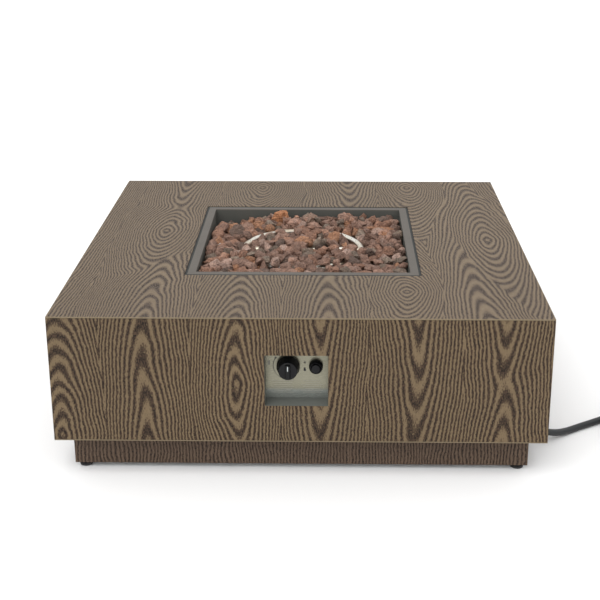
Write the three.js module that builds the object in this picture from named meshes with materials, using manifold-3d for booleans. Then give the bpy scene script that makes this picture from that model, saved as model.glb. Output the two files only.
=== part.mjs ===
// A low square gas fire table: a wood-grain sheet-metal casing on a recessed plinth, a square
// fire pan of lava rock with a ring burner, a recessed control panel and a hose to a gas bottle.
//
// Units are millimetres. +Z is up, the control panel faces -Y, and the origin is on the floor
// under the middle of the table.

import * as THREE from 'three';
import { mergeVertices } from 'three/addons/utils/BufferGeometryUtils.js';
import Module from 'manifold-3d';

const wasm = await Module();
wasm.setup();

// ---- Driving dimensions ------------------------------------------------------------------

const GAP = 0.3; // left between two pieces that touch
const SLACK = 2; // round a piece that drops into an opening

// Table
const TABLE_WIDTH = 1000; // along X
const TABLE_DEPTH = 1000; // along Y
const CASING_HEIGHT = 270; // underside of the casing to the table top
const PLINTH_HEIGHT = 68;
const PLINTH_SETBACK = 32;
const TOP_SHEET = 2.5;
const SIDE_SHEET = 1.5;
const SOFFIT_SHEET = 2;
const SOFFIT_LIP = 28; // how far the soffit reaches in past the plinth
const BASE_SHEET = 2;
const TUBE = 25; // square tube of the inner frame
const TUBE_WALL = 1.5;
const VENTS = 6; // slots in each row of the base plate
const VENT_LENGTH = 70;
const VENT_WIDTH = 9;
const VENT_ROW_OFFSET = 180; // from the middle of the plate to each row

// Levelling feet
const FOOT_HEIGHT = 12;
const FOOT_RADIUS = 14;
const FOOT_INSET = 19; // plinth face to the middle of a foot
const STUD_RADIUS = 4;
const STUD_TOP = 62; // height of a stud's upper end
const WELD_NUT_RADIUS = 8;
const WELD_NUT_HEIGHT = 12;

// Fire pan and what lies in it
const PAN_SIZE = 508; // over the flange
const PAN_FLANGE = 21;
const PAN_DEPTH = 74; // flange to the outside of the floor
const PAN_SHEET = 1.5;
const PAN_DROP = 1; // flange below the table top
const ROCK_DROP = 26; // mean surface of the rock below the flange
const ROCK_LUMP = 4.5; // height of the lumps in that surface

// Burner
const BURNER_X = -7;
const BURNER_Y = -5;
const RING_RADIUS = 138; // middle of the ring's tube
const RING_TUBE = 8;
const RING_DROP = 28; // middle of the ring's tube below the table top
const STEM_RADIUS = 10.5;
const STEM_LENGTH = 66;
const MIXER_RADIUS = 14;
const MIXER_LENGTH = 46;
const PILOT_ANGLES = { electrode: 215, thermocouple: 226 }; // degrees round the ring
const PILOT_STANDOFF = 12; // from the ring's tube to a pilot rod's middle

// Control recess and what it holds
const RECESS_X = -7.5; // its middle; it sits halfway up the casing
const RECESS_WIDTH = 127;
const RECESS_HEIGHT = 110;
const RECESS_DEPTH = 40; // casing face to the control plate
const BOX_SHEET = 1.2;
const BOX_FLANGE = 9;
const CONTROLS_RISE = 16; // knob and igniter above the middle of the recess
const KNOB_OFFSET = -17.5; // from the middle of the recess
const IGNITER_OFFSET = 38.5;
const KNOB_RADIUS = 23.5;
const KNOB_FACE_RADIUS = 17.5;
const KNOB_STAND = 4.6; // knob to control plate, before it is pushed
const KNOB_LENGTH = 34;
const KNOB_HOLLOW = 6; // depth of the recess in its back that clears the valve's nut
const GRIP_LENGTH = 8; // part of the knob's length that is a bar
const GRIP_WIDTH = 12;
const VALVE_STEM_RADIUS = 3;
const IGNITER_THREAD_RADIUS = 11;
const CAP_RADIUS = 14;
const CAP_LENGTH = 14.3;
const BUTTON_RADIUS = 9.8;
const BUTTON_TRAVEL = 3.5;
const BATTERY_RADIUS = 5.25;
const BATTERY_LENGTH = 44.5;

// Gas hose
const HOSE_RADIUS = 7.5;
const HOSE_EXIT = [TABLE_WIDTH / 2 - PLINTH_SETBACK, -352, 36]; // on the plinth's right face
const COIL_CENTRE = [779.3, -284.4];
const COIL_INNER = 65;
const COIL_OUTER = 95;
const COIL_HEIGHT = 30;
const REGULATOR_RADIUS = 33;
const NUT_RADIUS = 25;

// ---- Heights and places that follow from them --------------------------------------------

const SOFFIT_Z = FOOT_HEIGHT + PLINTH_HEIGHT;
const TOP_Z = SOFFIT_Z + CASING_HEIGHT;
const UNDER_TOP_Z = TOP_Z - TOP_SHEET - GAP; // where whatever carries the top panel ends
const PLINTH_WIDTH = TABLE_WIDTH - 2 * PLINTH_SETBACK;
const PLINTH_DEPTH = TABLE_DEPTH - 2 * PLINTH_SETBACK;
const FLANGE_Z = TOP_Z - PAN_DROP; // upper face of the pan's flange
const PAN_FLOOR_Z = FLANGE_Z - PAN_DEPTH; // underside of the pan
const PAN_MOUTH = PAN_SIZE / 2 - PAN_FLANGE; // half of the pan's clear opening
const RING_Z = TOP_Z - RING_DROP;
const FACE_Y = -TABLE_DEPTH / 2; // front of the casing
const PLATE_Y = FACE_Y + RECESS_DEPTH; // front of the control plate
const PLATE_BACK_Y = PLATE_Y + BOX_SHEET;
const RECESS_Z = SOFFIT_Z + CASING_HEIGHT / 2;
const CONTROLS_Z = RECESS_Z + CONTROLS_RISE;
const KNOB_X = RECESS_X + KNOB_OFFSET;
const IGNITER_X = RECESS_X + IGNITER_OFFSET;

// ---- Materials ---------------------------------------------------------------------------

const paint = (color, roughness, metalness) => () =>
  new THREE.MeshStandardMaterial({ color, roughness, metalness });
const GRAIN = paint(0x83705a, 0.55, 0.3);
const GRAIN_DARK = paint(0x5f4c3e, 0.6, 0.3);
const FRAME_BLACK = paint(0x2b2b2c, 0.6, 0.4);
const PAN_GREY = paint(0x54574f, 0.6, 0.5);
const STAINLESS = paint(0xc9c6bd, 0.25, 0.95);
const ZINC = paint(0x9d9f9f, 0.45, 0.85);
const BRASS = paint(0xb08d4a, 0.35, 0.9);
const BLACK_PLASTIC = paint(0x161617, 0.35, 0);
const RUBBER = paint(0x1d1e20, 0.7, 0);
const CERAMIC = paint(0xe8e4da, 0.4, 0);
const WHITE = paint(0xf0f0ee, 0.5, 0);
const LAVA = paint(0x7a4f41, 0.95, 0);
const COPPER = paint(0xb87a55, 0.35, 0.9);

// ---- Geometry helpers --------------------------------------------------------------------

// A closed three.js geometry as a manifold solid.
function solid(geometry) {
  const bare = geometry.clone();
  bare.deleteAttribute('normal');
  bare.deleteAttribute('uv');
  const merged = mergeVertices(bare, 1e-4);
  const corners = merged.index.array;
  const triangles = [];
  for (let i = 0; i < corners.length; i += 3) {
    const [a, b, c] = corners.slice(i, i + 3);
    if (a !== b && b !== c && c !== a) triangles.push(a, b, c);
  }
  return new wasm.Manifold(new wasm.Mesh({
    numProp: 3,
    vertProperties: new Float32Array(merged.attributes.position.array),
    triVerts: new Uint32Array(triangles),
  }));
}

// A manifold solid as a three.js geometry.
function geometryOf(body) {
  const mesh = body.getMesh();
  const geometry = new THREE.BufferGeometry();
  geometry.setAttribute('position', new THREE.BufferAttribute(mesh.vertProperties, 3));
  geometry.setIndex(new THREE.BufferAttribute(mesh.triVerts, 1));
  geometry.computeVertexNormals();
  return geometry;
}

const join = (first, ...others) =>
  geometryOf(others.reduce((body, next) => body.add(solid(next)), solid(first)));
const cut = (first, ...tools) =>
  geometryOf(tools.reduce((body, next) => body.subtract(solid(next)), solid(first)));
const common = (first, second) => geometryOf(solid(first).intersect(solid(second)));

function mesh(name, geometry, material, place = [0, 0, 0]) {
  const piece = new THREE.Mesh(geometry, material());
  piece.name = name;
  piece.position.set(...place);
  return piece;
}

function assembly(place, ...pieces) {
  const group = new THREE.Group();
  group.position.set(...place);
  group.add(...pieces);
  return group;
}

// A box given by its lowest and highest corner.
function box(low, high) {
  const size = high.map((value, i) => value - low[i]);
  return new THREE.BoxGeometry(...size).translate(...low.map((value, i) => value + size[i] / 2));
}

// Rods along Z or Y, from one level to another.
const rodZ = (radius, low, high, sides = 24, topRadius = radius) =>
  new THREE.CylinderGeometry(topRadius, radius, high - low, sides)
    .rotateX(Math.PI / 2)
    .translate(0, 0, (low + high) / 2);
const rodY = (radius, low, high, sides = 24) =>
  new THREE.CylinderGeometry(radius, radius, high - low, sides).translate(0, (low + high) / 2, 0);

// A profile of [radius, height] pairs, turned about Y or Z.
const turnedY = (profile, sides = 24) =>
  new THREE.LatheGeometry(profile.map(([r, y]) => new THREE.Vector2(r, y)), sides);
const turnedZ = (profile, sides = 24) => turnedY(profile, sides).rotateX(Math.PI / 2);

function rectangle(width, height, x = 0, y = 0) {
  const shape = new THREE.Shape();
  shape.moveTo(x - width / 2, y - height / 2);
  shape.lineTo(x + width / 2, y - height / 2);
  shape.lineTo(x + width / 2, y + height / 2);
  shape.lineTo(x - width / 2, y + height / 2);
  shape.closePath();
  return shape;
}

const extrude = (shape, depth) => new THREE.ExtrudeGeometry(shape, { depth, bevelEnabled: false });

// A flat ring of sheet, with a rectangular opening, lying in the XY plane.
function frameSheet(width, height, innerWidth, innerHeight, thickness) {
  const shape = rectangle(width, height);
  shape.holes.push(rectangle(innerWidth, innerHeight));
  return extrude(shape, thickness);
}

// A round tube or wire along a smooth line through its points.
function tube(points, radius, sides, steps) {
  const section = new THREE.Shape();
  for (let i = 0; i < sides; i += 1) {
    const angle = (2 * Math.PI * i) / sides;
    const corner = [radius * Math.cos(angle), radius * Math.sin(angle)];
    if (i === 0) section.moveTo(...corner);
    else section.lineTo(...corner);
  }
  section.closePath();
  const extrudePath = new THREE.CatmullRomCurve3(points.map((p) => new THREE.Vector3(...p)));
  return new THREE.ExtrudeGeometry(section, { steps, extrudePath });
}

// ---- Casing, plinth and inner frame ------------------------------------------------------

const SIDES = [
  { side: 'front', turn: 0 },
  { side: 'right', turn: Math.PI / 2 },
  { side: 'rear', turn: Math.PI },
  { side: 'left', turn: -Math.PI / 2 },
];

// An upright sheet with its outer face on y = 0 and mitred ends.
function mitredSheet(length, height, thickness) {
  const end = length / 2 - GAP / Math.SQRT2;
  const plan = new THREE.Shape();
  plan.moveTo(-end, 0);
  plan.lineTo(end, 0);
  plan.lineTo(end - thickness, thickness);
  plan.lineTo(thickness - end, thickness);
  plan.closePath();
  return extrude(plan, height);
}

// Four mitred sheets standing round a rectangle.
function sheetWalls(suffix, width, depth, low, high, material, cuts = {}) {
  return SIDES.map(({ side, turn }) => {
    const alongX = side === 'front' || side === 'rear';
    let sheet = mitredSheet(alongX ? width : depth, high - low, SIDE_SHEET)
      .translate(0, -(alongX ? depth : width) / 2, low)
      .rotateZ(turn);
    if (cuts[side]) sheet = cut(sheet, cuts[side]);
    return mesh(`${side}_${suffix}`, sheet, material);
  });
}

function casing() {
  const opening = PAN_SIZE + 2 * SLACK;
  const top = frameSheet(TABLE_WIDTH, TABLE_DEPTH, opening, opening, TOP_SHEET);
  const soffit = frameSheet(
    TABLE_WIDTH, TABLE_DEPTH,
    PLINTH_WIDTH - 2 * SOFFIT_LIP, PLINTH_DEPTH - 2 * SOFFIT_LIP, SOFFIT_SHEET,
  );
  const window = box(
    [RECESS_X - RECESS_WIDTH / 2, FACE_Y - 5, RECESS_Z - RECESS_HEIGHT / 2],
    [RECESS_X + RECESS_WIDTH / 2, FACE_Y + 5, RECESS_Z + RECESS_HEIGHT / 2],
  );
  return [
    mesh('top_panel', top, GRAIN, [0, 0, TOP_Z - TOP_SHEET]),
    mesh('soffit_panel', soffit, GRAIN_DARK, [0, 0, SOFFIT_Z]),
    ...sheetWalls('panel', TABLE_WIDTH, TABLE_DEPTH, SOFFIT_Z + SOFFIT_SHEET + GAP,
      UNDER_TOP_Z, GRAIN, { front: window }),
  ];
}

// Angle posts that the side panels are fixed to, in the four corners of the casing.
function cornerPosts() {
  const low = SOFFIT_Z + SOFFIT_SHEET + GAP;
  const inset = SIDE_SHEET + GAP;
  const names = ['front_left', 'front_right', 'rear_right', 'rear_left']; // a quarter turn apart
  return names.map((name, quarter) => {
    const x = name.endsWith('left') ? -1 : 1;
    const y = name.startsWith('front') ? -1 : 1;
    const section = new THREE.Shape();
    section.moveTo(0, 0);
    section.lineTo(TUBE, 0);
    section.lineTo(TUBE, TUBE_WALL);
    section.lineTo(TUBE_WALL, TUBE_WALL);
    section.lineTo(TUBE_WALL, TUBE);
    section.lineTo(0, TUBE);
    section.closePath();
    const post = extrude(section, UNDER_TOP_Z - low).rotateZ((quarter * Math.PI) / 2);
    return mesh(`corner_post_${name}`, post, ZINC, [
      x * (TABLE_WIDTH / 2 - inset), y * (TABLE_DEPTH / 2 - inset), low,
    ]);
  });
}

// Square tubes under the edge of the pan's opening: two run the depth of the casing and carry
// two shorter ones. The pan's flange and the top panel both rest on them.
function panRails() {
  const centre = PAN_SIZE / 2;
  const longRail = TABLE_DEPTH - 2 * (SIDE_SHEET + GAP);
  const shortRail = 2 * (centre - TUBE / 2 - GAP);
  const clear = TUBE - 2 * TUBE_WALL;
  const rail = (length) => frameSheet(TUBE, TUBE, clear, clear, length).translate(0, 0, -length / 2);
  const z = UNDER_TOP_Z - TUBE / 2;
  return [
    mesh('pan_rail_left', rail(longRail).rotateX(Math.PI / 2), FRAME_BLACK, [-centre, 0, z]),
    mesh('pan_rail_right', rail(longRail).rotateX(Math.PI / 2), FRAME_BLACK, [centre, 0, z]),
    mesh('pan_rail_front', rail(shortRail).rotateY(Math.PI / 2), FRAME_BLACK, [0, -centre, z]),
    mesh('pan_rail_rear', rail(shortRail).rotateY(Math.PI / 2), FRAME_BLACK, [0, centre, z]),
  ];
}

const FOOT_X = PLINTH_WIDTH / 2 - FOOT_INSET;
const FOOT_Y = PLINTH_DEPTH / 2 - FOOT_INSET;

function plinth() {
  const [exitX, exitY, exitZ] = HOSE_EXIT;
  const hoseHole = rodZ(GROMMET_NECK_RADIUS + GAP, -5, 5)
    .rotateY(Math.PI / 2)
    .translate(exitX, exitY, exitZ);
  const walls = sheetWalls('plinth', PLINTH_WIDTH, PLINTH_DEPTH, FOOT_HEIGHT, SOFFIT_Z - GAP,
    GRAIN_DARK, { right: hoseHole });

  const halfX = PLINTH_WIDTH / 2 - SIDE_SHEET - GAP;
  const halfY = PLINTH_DEPTH / 2 - SIDE_SHEET - GAP;
  const plate = box([-halfX, -halfY, FOOT_HEIGHT], [halfX, halfY, FOOT_HEIGHT + BASE_SHEET]);
  const pitch = (PLINTH_WIDTH - 8 * FOOT_INSET) / VENTS;
  const slots = [-VENT_ROW_OFFSET, VENT_ROW_OFFSET].flatMap((y) => Array.from(
    { length: VENTS },
    (_, i) => box([-VENT_WIDTH / 2, -VENT_LENGTH / 2, 0], [VENT_WIDTH / 2, VENT_LENGTH / 2, SOFFIT_Z])
      .translate((i - (VENTS - 1) / 2) * pitch, y, 0),
  ));
  const corners = [[-1, -1], [1, -1], [1, 1], [-1, 1]];
  const at = (geometry, [x, y]) => geometry.translate(x * FOOT_X, y * FOOT_Y, 0);
  const nutTop = FOOT_HEIGHT + BASE_SHEET + WELD_NUT_HEIGHT;
  const nuts = corners.map((c) => at(rodZ(WELD_NUT_RADIUS, FOOT_HEIGHT + 1, nutTop, 6), c));
  const bores = corners.map((c) => at(rodZ(STUD_RADIUS + GAP, 0, nutTop + 5, 16), c));
  return [...walls, mesh('base_plate', cut(join(plate, ...nuts), ...slots, ...bores), ZINC)];
}

// A domed glide that swivels on the end of its threaded stud.
function feet() {
  const padTop = FOOT_HEIGHT - 2 * GAP;
  const socketZ = 0.45 * padTop;
  const neck = STUD_RADIUS + 2.5;
  const pad = [
    [0, 0], [FOOT_RADIUS - 1, 0], [FOOT_RADIUS, 0.08 * padTop], [FOOT_RADIUS, 0.32 * padTop],
    [FOOT_RADIUS - 1.6, 0.55 * padTop], [FOOT_RADIUS - 4.6, 0.76 * padTop], [neck, 0.88 * padTop],
    [neck, padTop], [STUD_RADIUS + GAP, padTop], [STUD_RADIUS + GAP, socketZ], [0, socketZ],
  ];
  const places = {
    front_left: [-FOOT_X, -FOOT_Y], front_right: [FOOT_X, -FOOT_Y],
    rear_right: [FOOT_X, FOOT_Y], rear_left: [-FOOT_X, FOOT_Y],
  };
  return Object.entries(places).map(([name, [x, y]]) => assembly(
    [x, y, 0],
    mesh(`foot_pad_${name}`, turnedZ(pad, 16), BLACK_PLASTIC),
    mesh(`foot_stud_${name}`, rodZ(STUD_RADIUS, socketZ + GAP, STUD_TOP, 12), ZINC),
  ));
}

// ---- Fire pan, burner and rock -----------------------------------------------------------

// The hollow of the pan, or its outside, between two heights.
const panShape = (low, high, extra = 0) =>
  box([-PAN_MOUTH - extra, -PAN_MOUTH - extra, low], [PAN_MOUTH + extra, PAN_MOUTH + extra, high]);

function pilotPlace(name) {
  const angle = THREE.MathUtils.degToRad(PILOT_ANGLES[name]);
  const reach = RING_RADIUS + RING_TUBE + PILOT_STANDOFF;
  return [BURNER_X + reach * Math.cos(angle), BURNER_Y + reach * Math.sin(angle)];
}

const ELECTRODE_RADIUS = 4;
const PROBE_RADIUS = 3;

function firePan() {
  const half = PAN_SIZE / 2;
  const flange = box([-half, -half, FLANGE_Z - PAN_SHEET], [half, half, FLANGE_Z]);
  const tub = panShape(PAN_FLOOR_Z, FLANGE_Z - PAN_SHEET / 2, PAN_SHEET);
  const hollow = panShape(PAN_FLOOR_Z + PAN_SHEET, FLANGE_Z + 1);
  const hole = (radius, x, y) =>
    rodZ(radius, PAN_FLOOR_Z - 5, PAN_FLOOR_Z + 5, 16).translate(x, y, 0);
  return mesh('fire_pan', cut(
    join(flange, tub),
    hollow,
    hole(STEM_RADIUS + 1, BURNER_X, BURNER_Y),
    hole(ELECTRODE_RADIUS + 1, ...pilotPlace('electrode')),
    hole(PROBE_RADIUS + 1, ...pilotPlace('thermocouple')),
  ), PAN_GREY);
}

// The ring, its cross tube, hub and stem. Extra thickens them all, to cut room for them.
function burnerShape(extra = 0) {
  const ring = new THREE.TorusGeometry(RING_RADIUS, RING_TUBE + extra, 8, 36);
  const cross = rodZ(RING_TUBE * 0.9 + extra, -RING_RADIUS, RING_RADIUS, 8).rotateY(Math.PI / 2);
  const hub = rodZ(STEM_RADIUS + 4 + extra, -RING_TUBE - 4 - extra, RING_TUBE - 1 + extra, 16);
  const stem = rodZ(STEM_RADIUS + extra, -STEM_LENGTH, 0, 16);
  return join(ring, cross, hub, stem).translate(BURNER_X, BURNER_Y, RING_Z);
}

function burner() {
  const underPan = PAN_FLOOR_Z - GAP;
  const stemEnd = RING_Z - STEM_LENGTH;
  const nut = cut(rodZ(STEM_RADIUS + 7, underPan - LOCKNUT_HEIGHT, underPan, 6),
    rodZ(STEM_RADIUS + GAP, underPan - 20, underPan + 5, 16));
  const mixerTop = underPan - LOCKNUT_HEIGHT - GAP;
  const window = box([-MIXER_RADIUS - 2, -4, MIXER_END_Z + 8], [MIXER_RADIUS + 2, 4, MIXER_END_Z + 22]);
  const mixer = cut(rodZ(MIXER_RADIUS, MIXER_END_Z, mixerTop, 20),
    rodZ(STEM_RADIUS + GAP, stemEnd - GAP, mixerTop + 5, 16),
    rodZ(STEM_RADIUS - 2.5, MIXER_END_Z - 5, stemEnd, 16), window);
  return assembly(
    [0, 0, 0],
    mesh('burner_ring', burnerShape(), STAINLESS),
    mesh('burner_locknut', nut, ZINC, [BURNER_X, BURNER_Y, 0]),
    mesh('air_mixer', mixer, BRASS, [BURNER_X, BURNER_Y, 0]),
    mesh('jet_elbow', jetElbow(MIXER_END_Z - GAP), BRASS, [BURNER_X, BURNER_Y, 0]),
  );
}

const ELBOW_RADIUS = 9;
const ELBOW_DROP = 20; // top of the elbow to the middle of its side branch
const ELBOW_REACH = 24; // stem axis to the end of the side branch
const LOCKNUT_HEIGHT = 8;
const MIXER_END_Z = PAN_FLOOR_Z - 2 * GAP - LOCKNUT_HEIGHT - MIXER_LENGTH;
const FEED_Z = MIXER_END_Z - GAP - ELBOW_DROP;

// The brass elbow that carries the jet: up into the mixer, and forward to the feed pipe.
function jetElbow(top) {
  const upright = rodZ(ELBOW_RADIUS, top - ELBOW_DROP - ELBOW_RADIUS, top, 16);
  const collar = rodZ(MIXER_RADIUS - 2, top - 8, top, 6);
  const branch = rodY(ELBOW_RADIUS - 1, -ELBOW_REACH, 0, 16).translate(0, 0, top - ELBOW_DROP);
  return join(upright, collar, branch);
}

// Loose rock, filling the pan round the burner, as one lumpy solid.
function lavaRock() {
  const cells = 8;
  const side = 2 * PAN_MOUTH;
  const low = PAN_FLOOR_Z + PAN_SHEET + GAP;
  const surface = FLANGE_Z - ROCK_DROP;
  const heap = new THREE.BoxGeometry(side, side, surface - low, cells, cells, 1)
    .translate(0, 0, (surface + low) / 2);
  const points = heap.attributes.position;
  for (let i = 0; i < points.count; i += 1) {
    if (points.getZ(i) > surface - 1) {
      const x = points.getX(i);
      const y = points.getY(i);
      const lump = Math.sin(x / 17 + 1) * Math.cos(y / 14) + 0.6 * Math.sin((x - 2 * y) / 31);
      points.setZ(i, surface + ROCK_LUMP * lump);
    }
  }
  const roomFor = (radius, [x, y]) => rodZ(radius + 2, low - 5, TOP_Z + 5, 10).translate(x, y, 0);
  return mesh('lava_rock', cut(
    common(heap, panShape(low, TOP_Z, -GAP)),
    burnerShape(2 * GAP),
    roomFor(ELECTRODE_RADIUS, pilotPlace('electrode')),
    roomFor(PROBE_RADIUS, pilotPlace('thermocouple')),
    pilotBracketShape(2 * GAP),
  ), LAVA);
}

// A plate on the pan's floor that holds the electrode and the thermocouple upright.
function pilotBracketShape(extra = 0) {
  const [ex, ey] = pilotPlace('electrode');
  const [tx, ty] = pilotPlace('thermocouple');
  const low = PAN_FLOOR_Z + PAN_SHEET + GAP;
  const length = Math.hypot(tx - ex, ty - ey) + 18;
  return box([-length / 2 - extra, -8 - extra, low], [length / 2 + extra, 8 + extra, low + 2 + extra])
    .rotateZ(Math.atan2(ty - ey, tx - ex))
    .translate((ex + tx) / 2, (ey + ty) / 2, 0);
}

function pilot() {
  const [ex, ey] = pilotPlace('electrode');
  const [tx, ty] = pilotPlace('thermocouple');
  const foot = PAN_FLOOR_Z - 12;
  const rod = [
    [0, foot], [ELECTRODE_RADIUS, foot], [ELECTRODE_RADIUS, RING_Z - 6], [1.2, RING_Z - 2],
    [1.2, RING_Z + 6], [0, RING_Z + 6],
  ];
  const bracket = cut(pilotBracketShape(),
    rodZ(ELECTRODE_RADIUS + GAP, 0, TOP_Z, 16).translate(ex, ey, 0),
    rodZ(PROBE_RADIUS + GAP, 0, TOP_Z, 16).translate(tx, ty, 0));
  return [
    mesh('pilot_bracket', bracket, STAINLESS),
    mesh('electrode', turnedZ(rod, 16), CERAMIC, [ex, ey, 0]),
  ];
}

// ---- Control panel -----------------------------------------------------------------------

const VALVE_BOSS_RADIUS = 6.5;
const VALVE_HALF = 17;
const VALVE_FRONT_Y = PLATE_BACK_Y + GAP;
const VALVE_BACK_Y = VALVE_FRONT_Y + 36;
const VALVE_CHAMBER_RADIUS = 9.3;
const VALVE_CHAMBER_Y = VALVE_FRONT_Y + 8;
const ROTOR_BACK_Y = VALVE_CHAMBER_Y + 18;
const INLET_END_Z = CONTROLS_Z - VALVE_HALF - 24;
const OUTLET_END_Y = VALVE_BACK_Y + 14;
const IGNITER_BACK_Y = PLATE_BACK_Y + 56;

// The sheet-metal box behind the window in the casing, and the polished plate that closes it.
function controlBox() {
  const outer = { width: RECESS_WIDTH + 2 * BOX_SHEET, height: RECESS_HEIGHT + 2 * BOX_SHEET };
  const front = FACE_Y + SIDE_SHEET + GAP;
  const back = PLATE_Y - GAP;
  const ring = (extra, low, high) => frameSheet(
    outer.width + extra, outer.height + extra, RECESS_WIDTH, RECESS_HEIGHT, high - low,
  ).rotateX(Math.PI / 2).translate(0, high, 0);
  const sleeve = join(
    ring(0, front, back),
    ring(2 * BOX_FLANGE, front, front + BOX_SHEET),
    ring(2 * BOX_FLANGE, back - BOX_SHEET, back),
  );
  const half = [outer.width / 2 + BOX_FLANGE, outer.height / 2 + BOX_FLANGE];
  const plate = cut(
    box([-half[0], PLATE_Y, -half[1]], [half[0], PLATE_BACK_Y, half[1]]),
    rodY(VALVE_BOSS_RADIUS + 0.5, PLATE_Y - 5, PLATE_BACK_Y + 5)
      .translate(KNOB_X - RECESS_X, 0, CONTROLS_Z - RECESS_Z),
    rodY(IGNITER_THREAD_RADIUS + 0.5, PLATE_Y - 5, PLATE_BACK_Y + 5)
      .translate(IGNITER_X - RECESS_X, 0, CONTROLS_Z - RECESS_Z),
  );
  return assembly(
    [RECESS_X, 0, RECESS_Z],
    mesh('control_box', sleeve, PAN_GREY),
    mesh('control_plate', plate, STAINLESS),
  );
}

// The gas valve behind the plate. Its stem slides in a rotor that turns with it.
function valve() {
  const nutThick = 4;
  const bossEnd = PLATE_Y - nutThick - GAP - 1.5;
  const body = cut(
    join(
      box([-VALVE_HALF + 1, VALVE_FRONT_Y, -VALVE_HALF], [VALVE_HALF - 1, VALVE_BACK_Y, VALVE_HALF]),
      rodY(VALVE_BOSS_RADIUS, bossEnd, VALVE_FRONT_Y + 2),
    ),
    rodY(VALVE_STEM_RADIUS + GAP, bossEnd - 5, VALVE_CHAMBER_Y + 1, 16),
    rodY(VALVE_CHAMBER_RADIUS, VALVE_CHAMBER_Y, VALVE_BACK_Y + 5, 20),
  );
  const nut = cut(rodY(VALVE_BOSS_RADIUS + 4, PLATE_Y - GAP - nutThick, PLATE_Y - GAP, 6),
    rodY(VALVE_BOSS_RADIUS + GAP, PLATE_Y - 20, PLATE_Y + 5));
  const rotor = cut(
    rodY(VALVE_CHAMBER_RADIUS - GAP, VALVE_CHAMBER_Y + GAP, ROTOR_BACK_Y, 20),
    rodY(VALVE_STEM_RADIUS + GAP, VALVE_CHAMBER_Y - 5, ROTOR_BACK_Y - 3, 16),
  );
  const stem = rodY(VALVE_STEM_RADIUS, PLATE_Y - KNOB_STAND - 14, ROTOR_BACK_Y - 3 - 5, 16);
  const inletTop = -VALVE_HALF - GAP;
  const inlet = join(
    rodZ(VALVE_CHAMBER_RADIUS + 3, inletTop - 9, inletTop, 6),
    rodZ(HOSE_RADIUS + 1.5, INLET_END_Z - CONTROLS_Z, inletTop - 8, 20),
  ).translate(0, (VALVE_FRONT_Y + VALVE_BACK_Y) / 2, 0);
  return assembly(
    [KNOB_X, 0, CONTROLS_Z],
    mesh('valve_body', body, BRASS),
    mesh('valve_nut', nut, ZINC),
    mesh('valve_rotor', rotor, BRASS),
    mesh('valve_stem', stem, ZINC),
    mesh('inlet_fitting', inlet, BRASS),
    ...knob(),
  );
}

// A tapered knob with a bar to grip, a white line in the bar, and a hollow that clears the nut.
function knob() {
  const back = PLATE_Y - KNOB_STAND;
  const face = back - (KNOB_LENGTH - GRIP_LENGTH);
  const tip = back - KNOB_LENGTH;
  const round = turnedY([
    [0, face], [KNOB_FACE_RADIUS, face], [KNOB_FACE_RADIUS + 1, face + 1],
    [KNOB_RADIUS, back - 5], [KNOB_RADIUS, back], [0, back],
  ]);
  const reach = KNOB_FACE_RADIUS - 1.5;
  const bar = box([-GRIP_WIDTH / 2, tip, -reach], [GRIP_WIDTH / 2, face + 1, reach]);
  const lineHalf = 0.9;
  const lineTop = reach - 2;
  const lineLow = lineTop - 10;
  const groove = box([-lineHalf - GAP, tip - 5, lineLow - GAP],
    [lineHalf + GAP, tip + 1.2, lineTop + GAP]);
  return [
    mesh('control_knob', cut(
      join(round, bar),
      rodY(VALVE_BOSS_RADIUS + 6, back - KNOB_HOLLOW, back + 5),
      rodY(VALVE_STEM_RADIUS + GAP, back - 14 - GAP, back, 16),
      groove,
    ), BLACK_PLASTIC),
    mesh('knob_pointer', box([-lineHalf, tip + 0.1, lineLow], [lineHalf, tip + 1.2 - GAP, lineTop]),
      WHITE),
  ];
}

// A push-button igniter: a threaded barrel that holds the battery, and a cap that unscrews.
function igniter() {
  const capBack = PLATE_Y - GAP;
  const capFront = capBack - CAP_LENGTH;
  const buttonEnd = capFront + 2; // inner end of the button at rest
  const tubeFront = buttonEnd + BUTTON_TRAVEL + 2 * GAP;
  const bore = BATTERY_RADIUS + 0.5;
  const barrel = cut(
    join(
      rodY(IGNITER_THREAD_RADIUS, tubeFront, IGNITER_BACK_Y),
      rodY(IGNITER_THREAD_RADIUS + 4, PLATE_BACK_Y + GAP, PLATE_BACK_Y + 6, 6),
    ),
    rodY(bore, tubeFront - 5, tubeFront + BATTERY_LENGTH + 6, 20),
  );
  const thread = IGNITER_THREAD_RADIUS + GAP;
  const shoulder = tubeFront - GAP;
  const neck = BUTTON_RADIUS - 2.5;
  const cap = turnedY([
    [thread, capBack], [thread, shoulder], [neck, shoulder], [neck, capFront],
    [CAP_RADIUS - 3, capFront], [CAP_RADIUS - 1.8, capFront + 1.2], [CAP_RADIUS, capBack - 3.5],
    [CAP_RADIUS, capBack], [thread, capBack],
  ]);
  const under = capFront - GAP - BUTTON_TRAVEL; // underside of the button's head at rest
  const button = turnedY([
    [0, under - 2.6], [BUTTON_RADIUS - 1.4, under - 2.6], [BUTTON_RADIUS, under - 1.4],
    [BUTTON_RADIUS, under], [neck - 0.4, under], [neck - 0.4, buttonEnd], [0, buttonEnd],
  ]);
  const batteryFront = tubeFront + 2;
  return assembly(
    [IGNITER_X, 0, CONTROLS_Z],
    mesh('igniter_barrel', barrel, BLACK_PLASTIC),
    mesh('igniter_cap', cap, BLACK_PLASTIC),
    mesh('igniter_button', button, BLACK_PLASTIC),
    mesh('battery', rodY(BATTERY_RADIUS, batteryFront, batteryFront + BATTERY_LENGTH, 20), COPPER),
  );
}

// ---- Pipes and leads inside the casing ---------------------------------------------------

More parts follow.
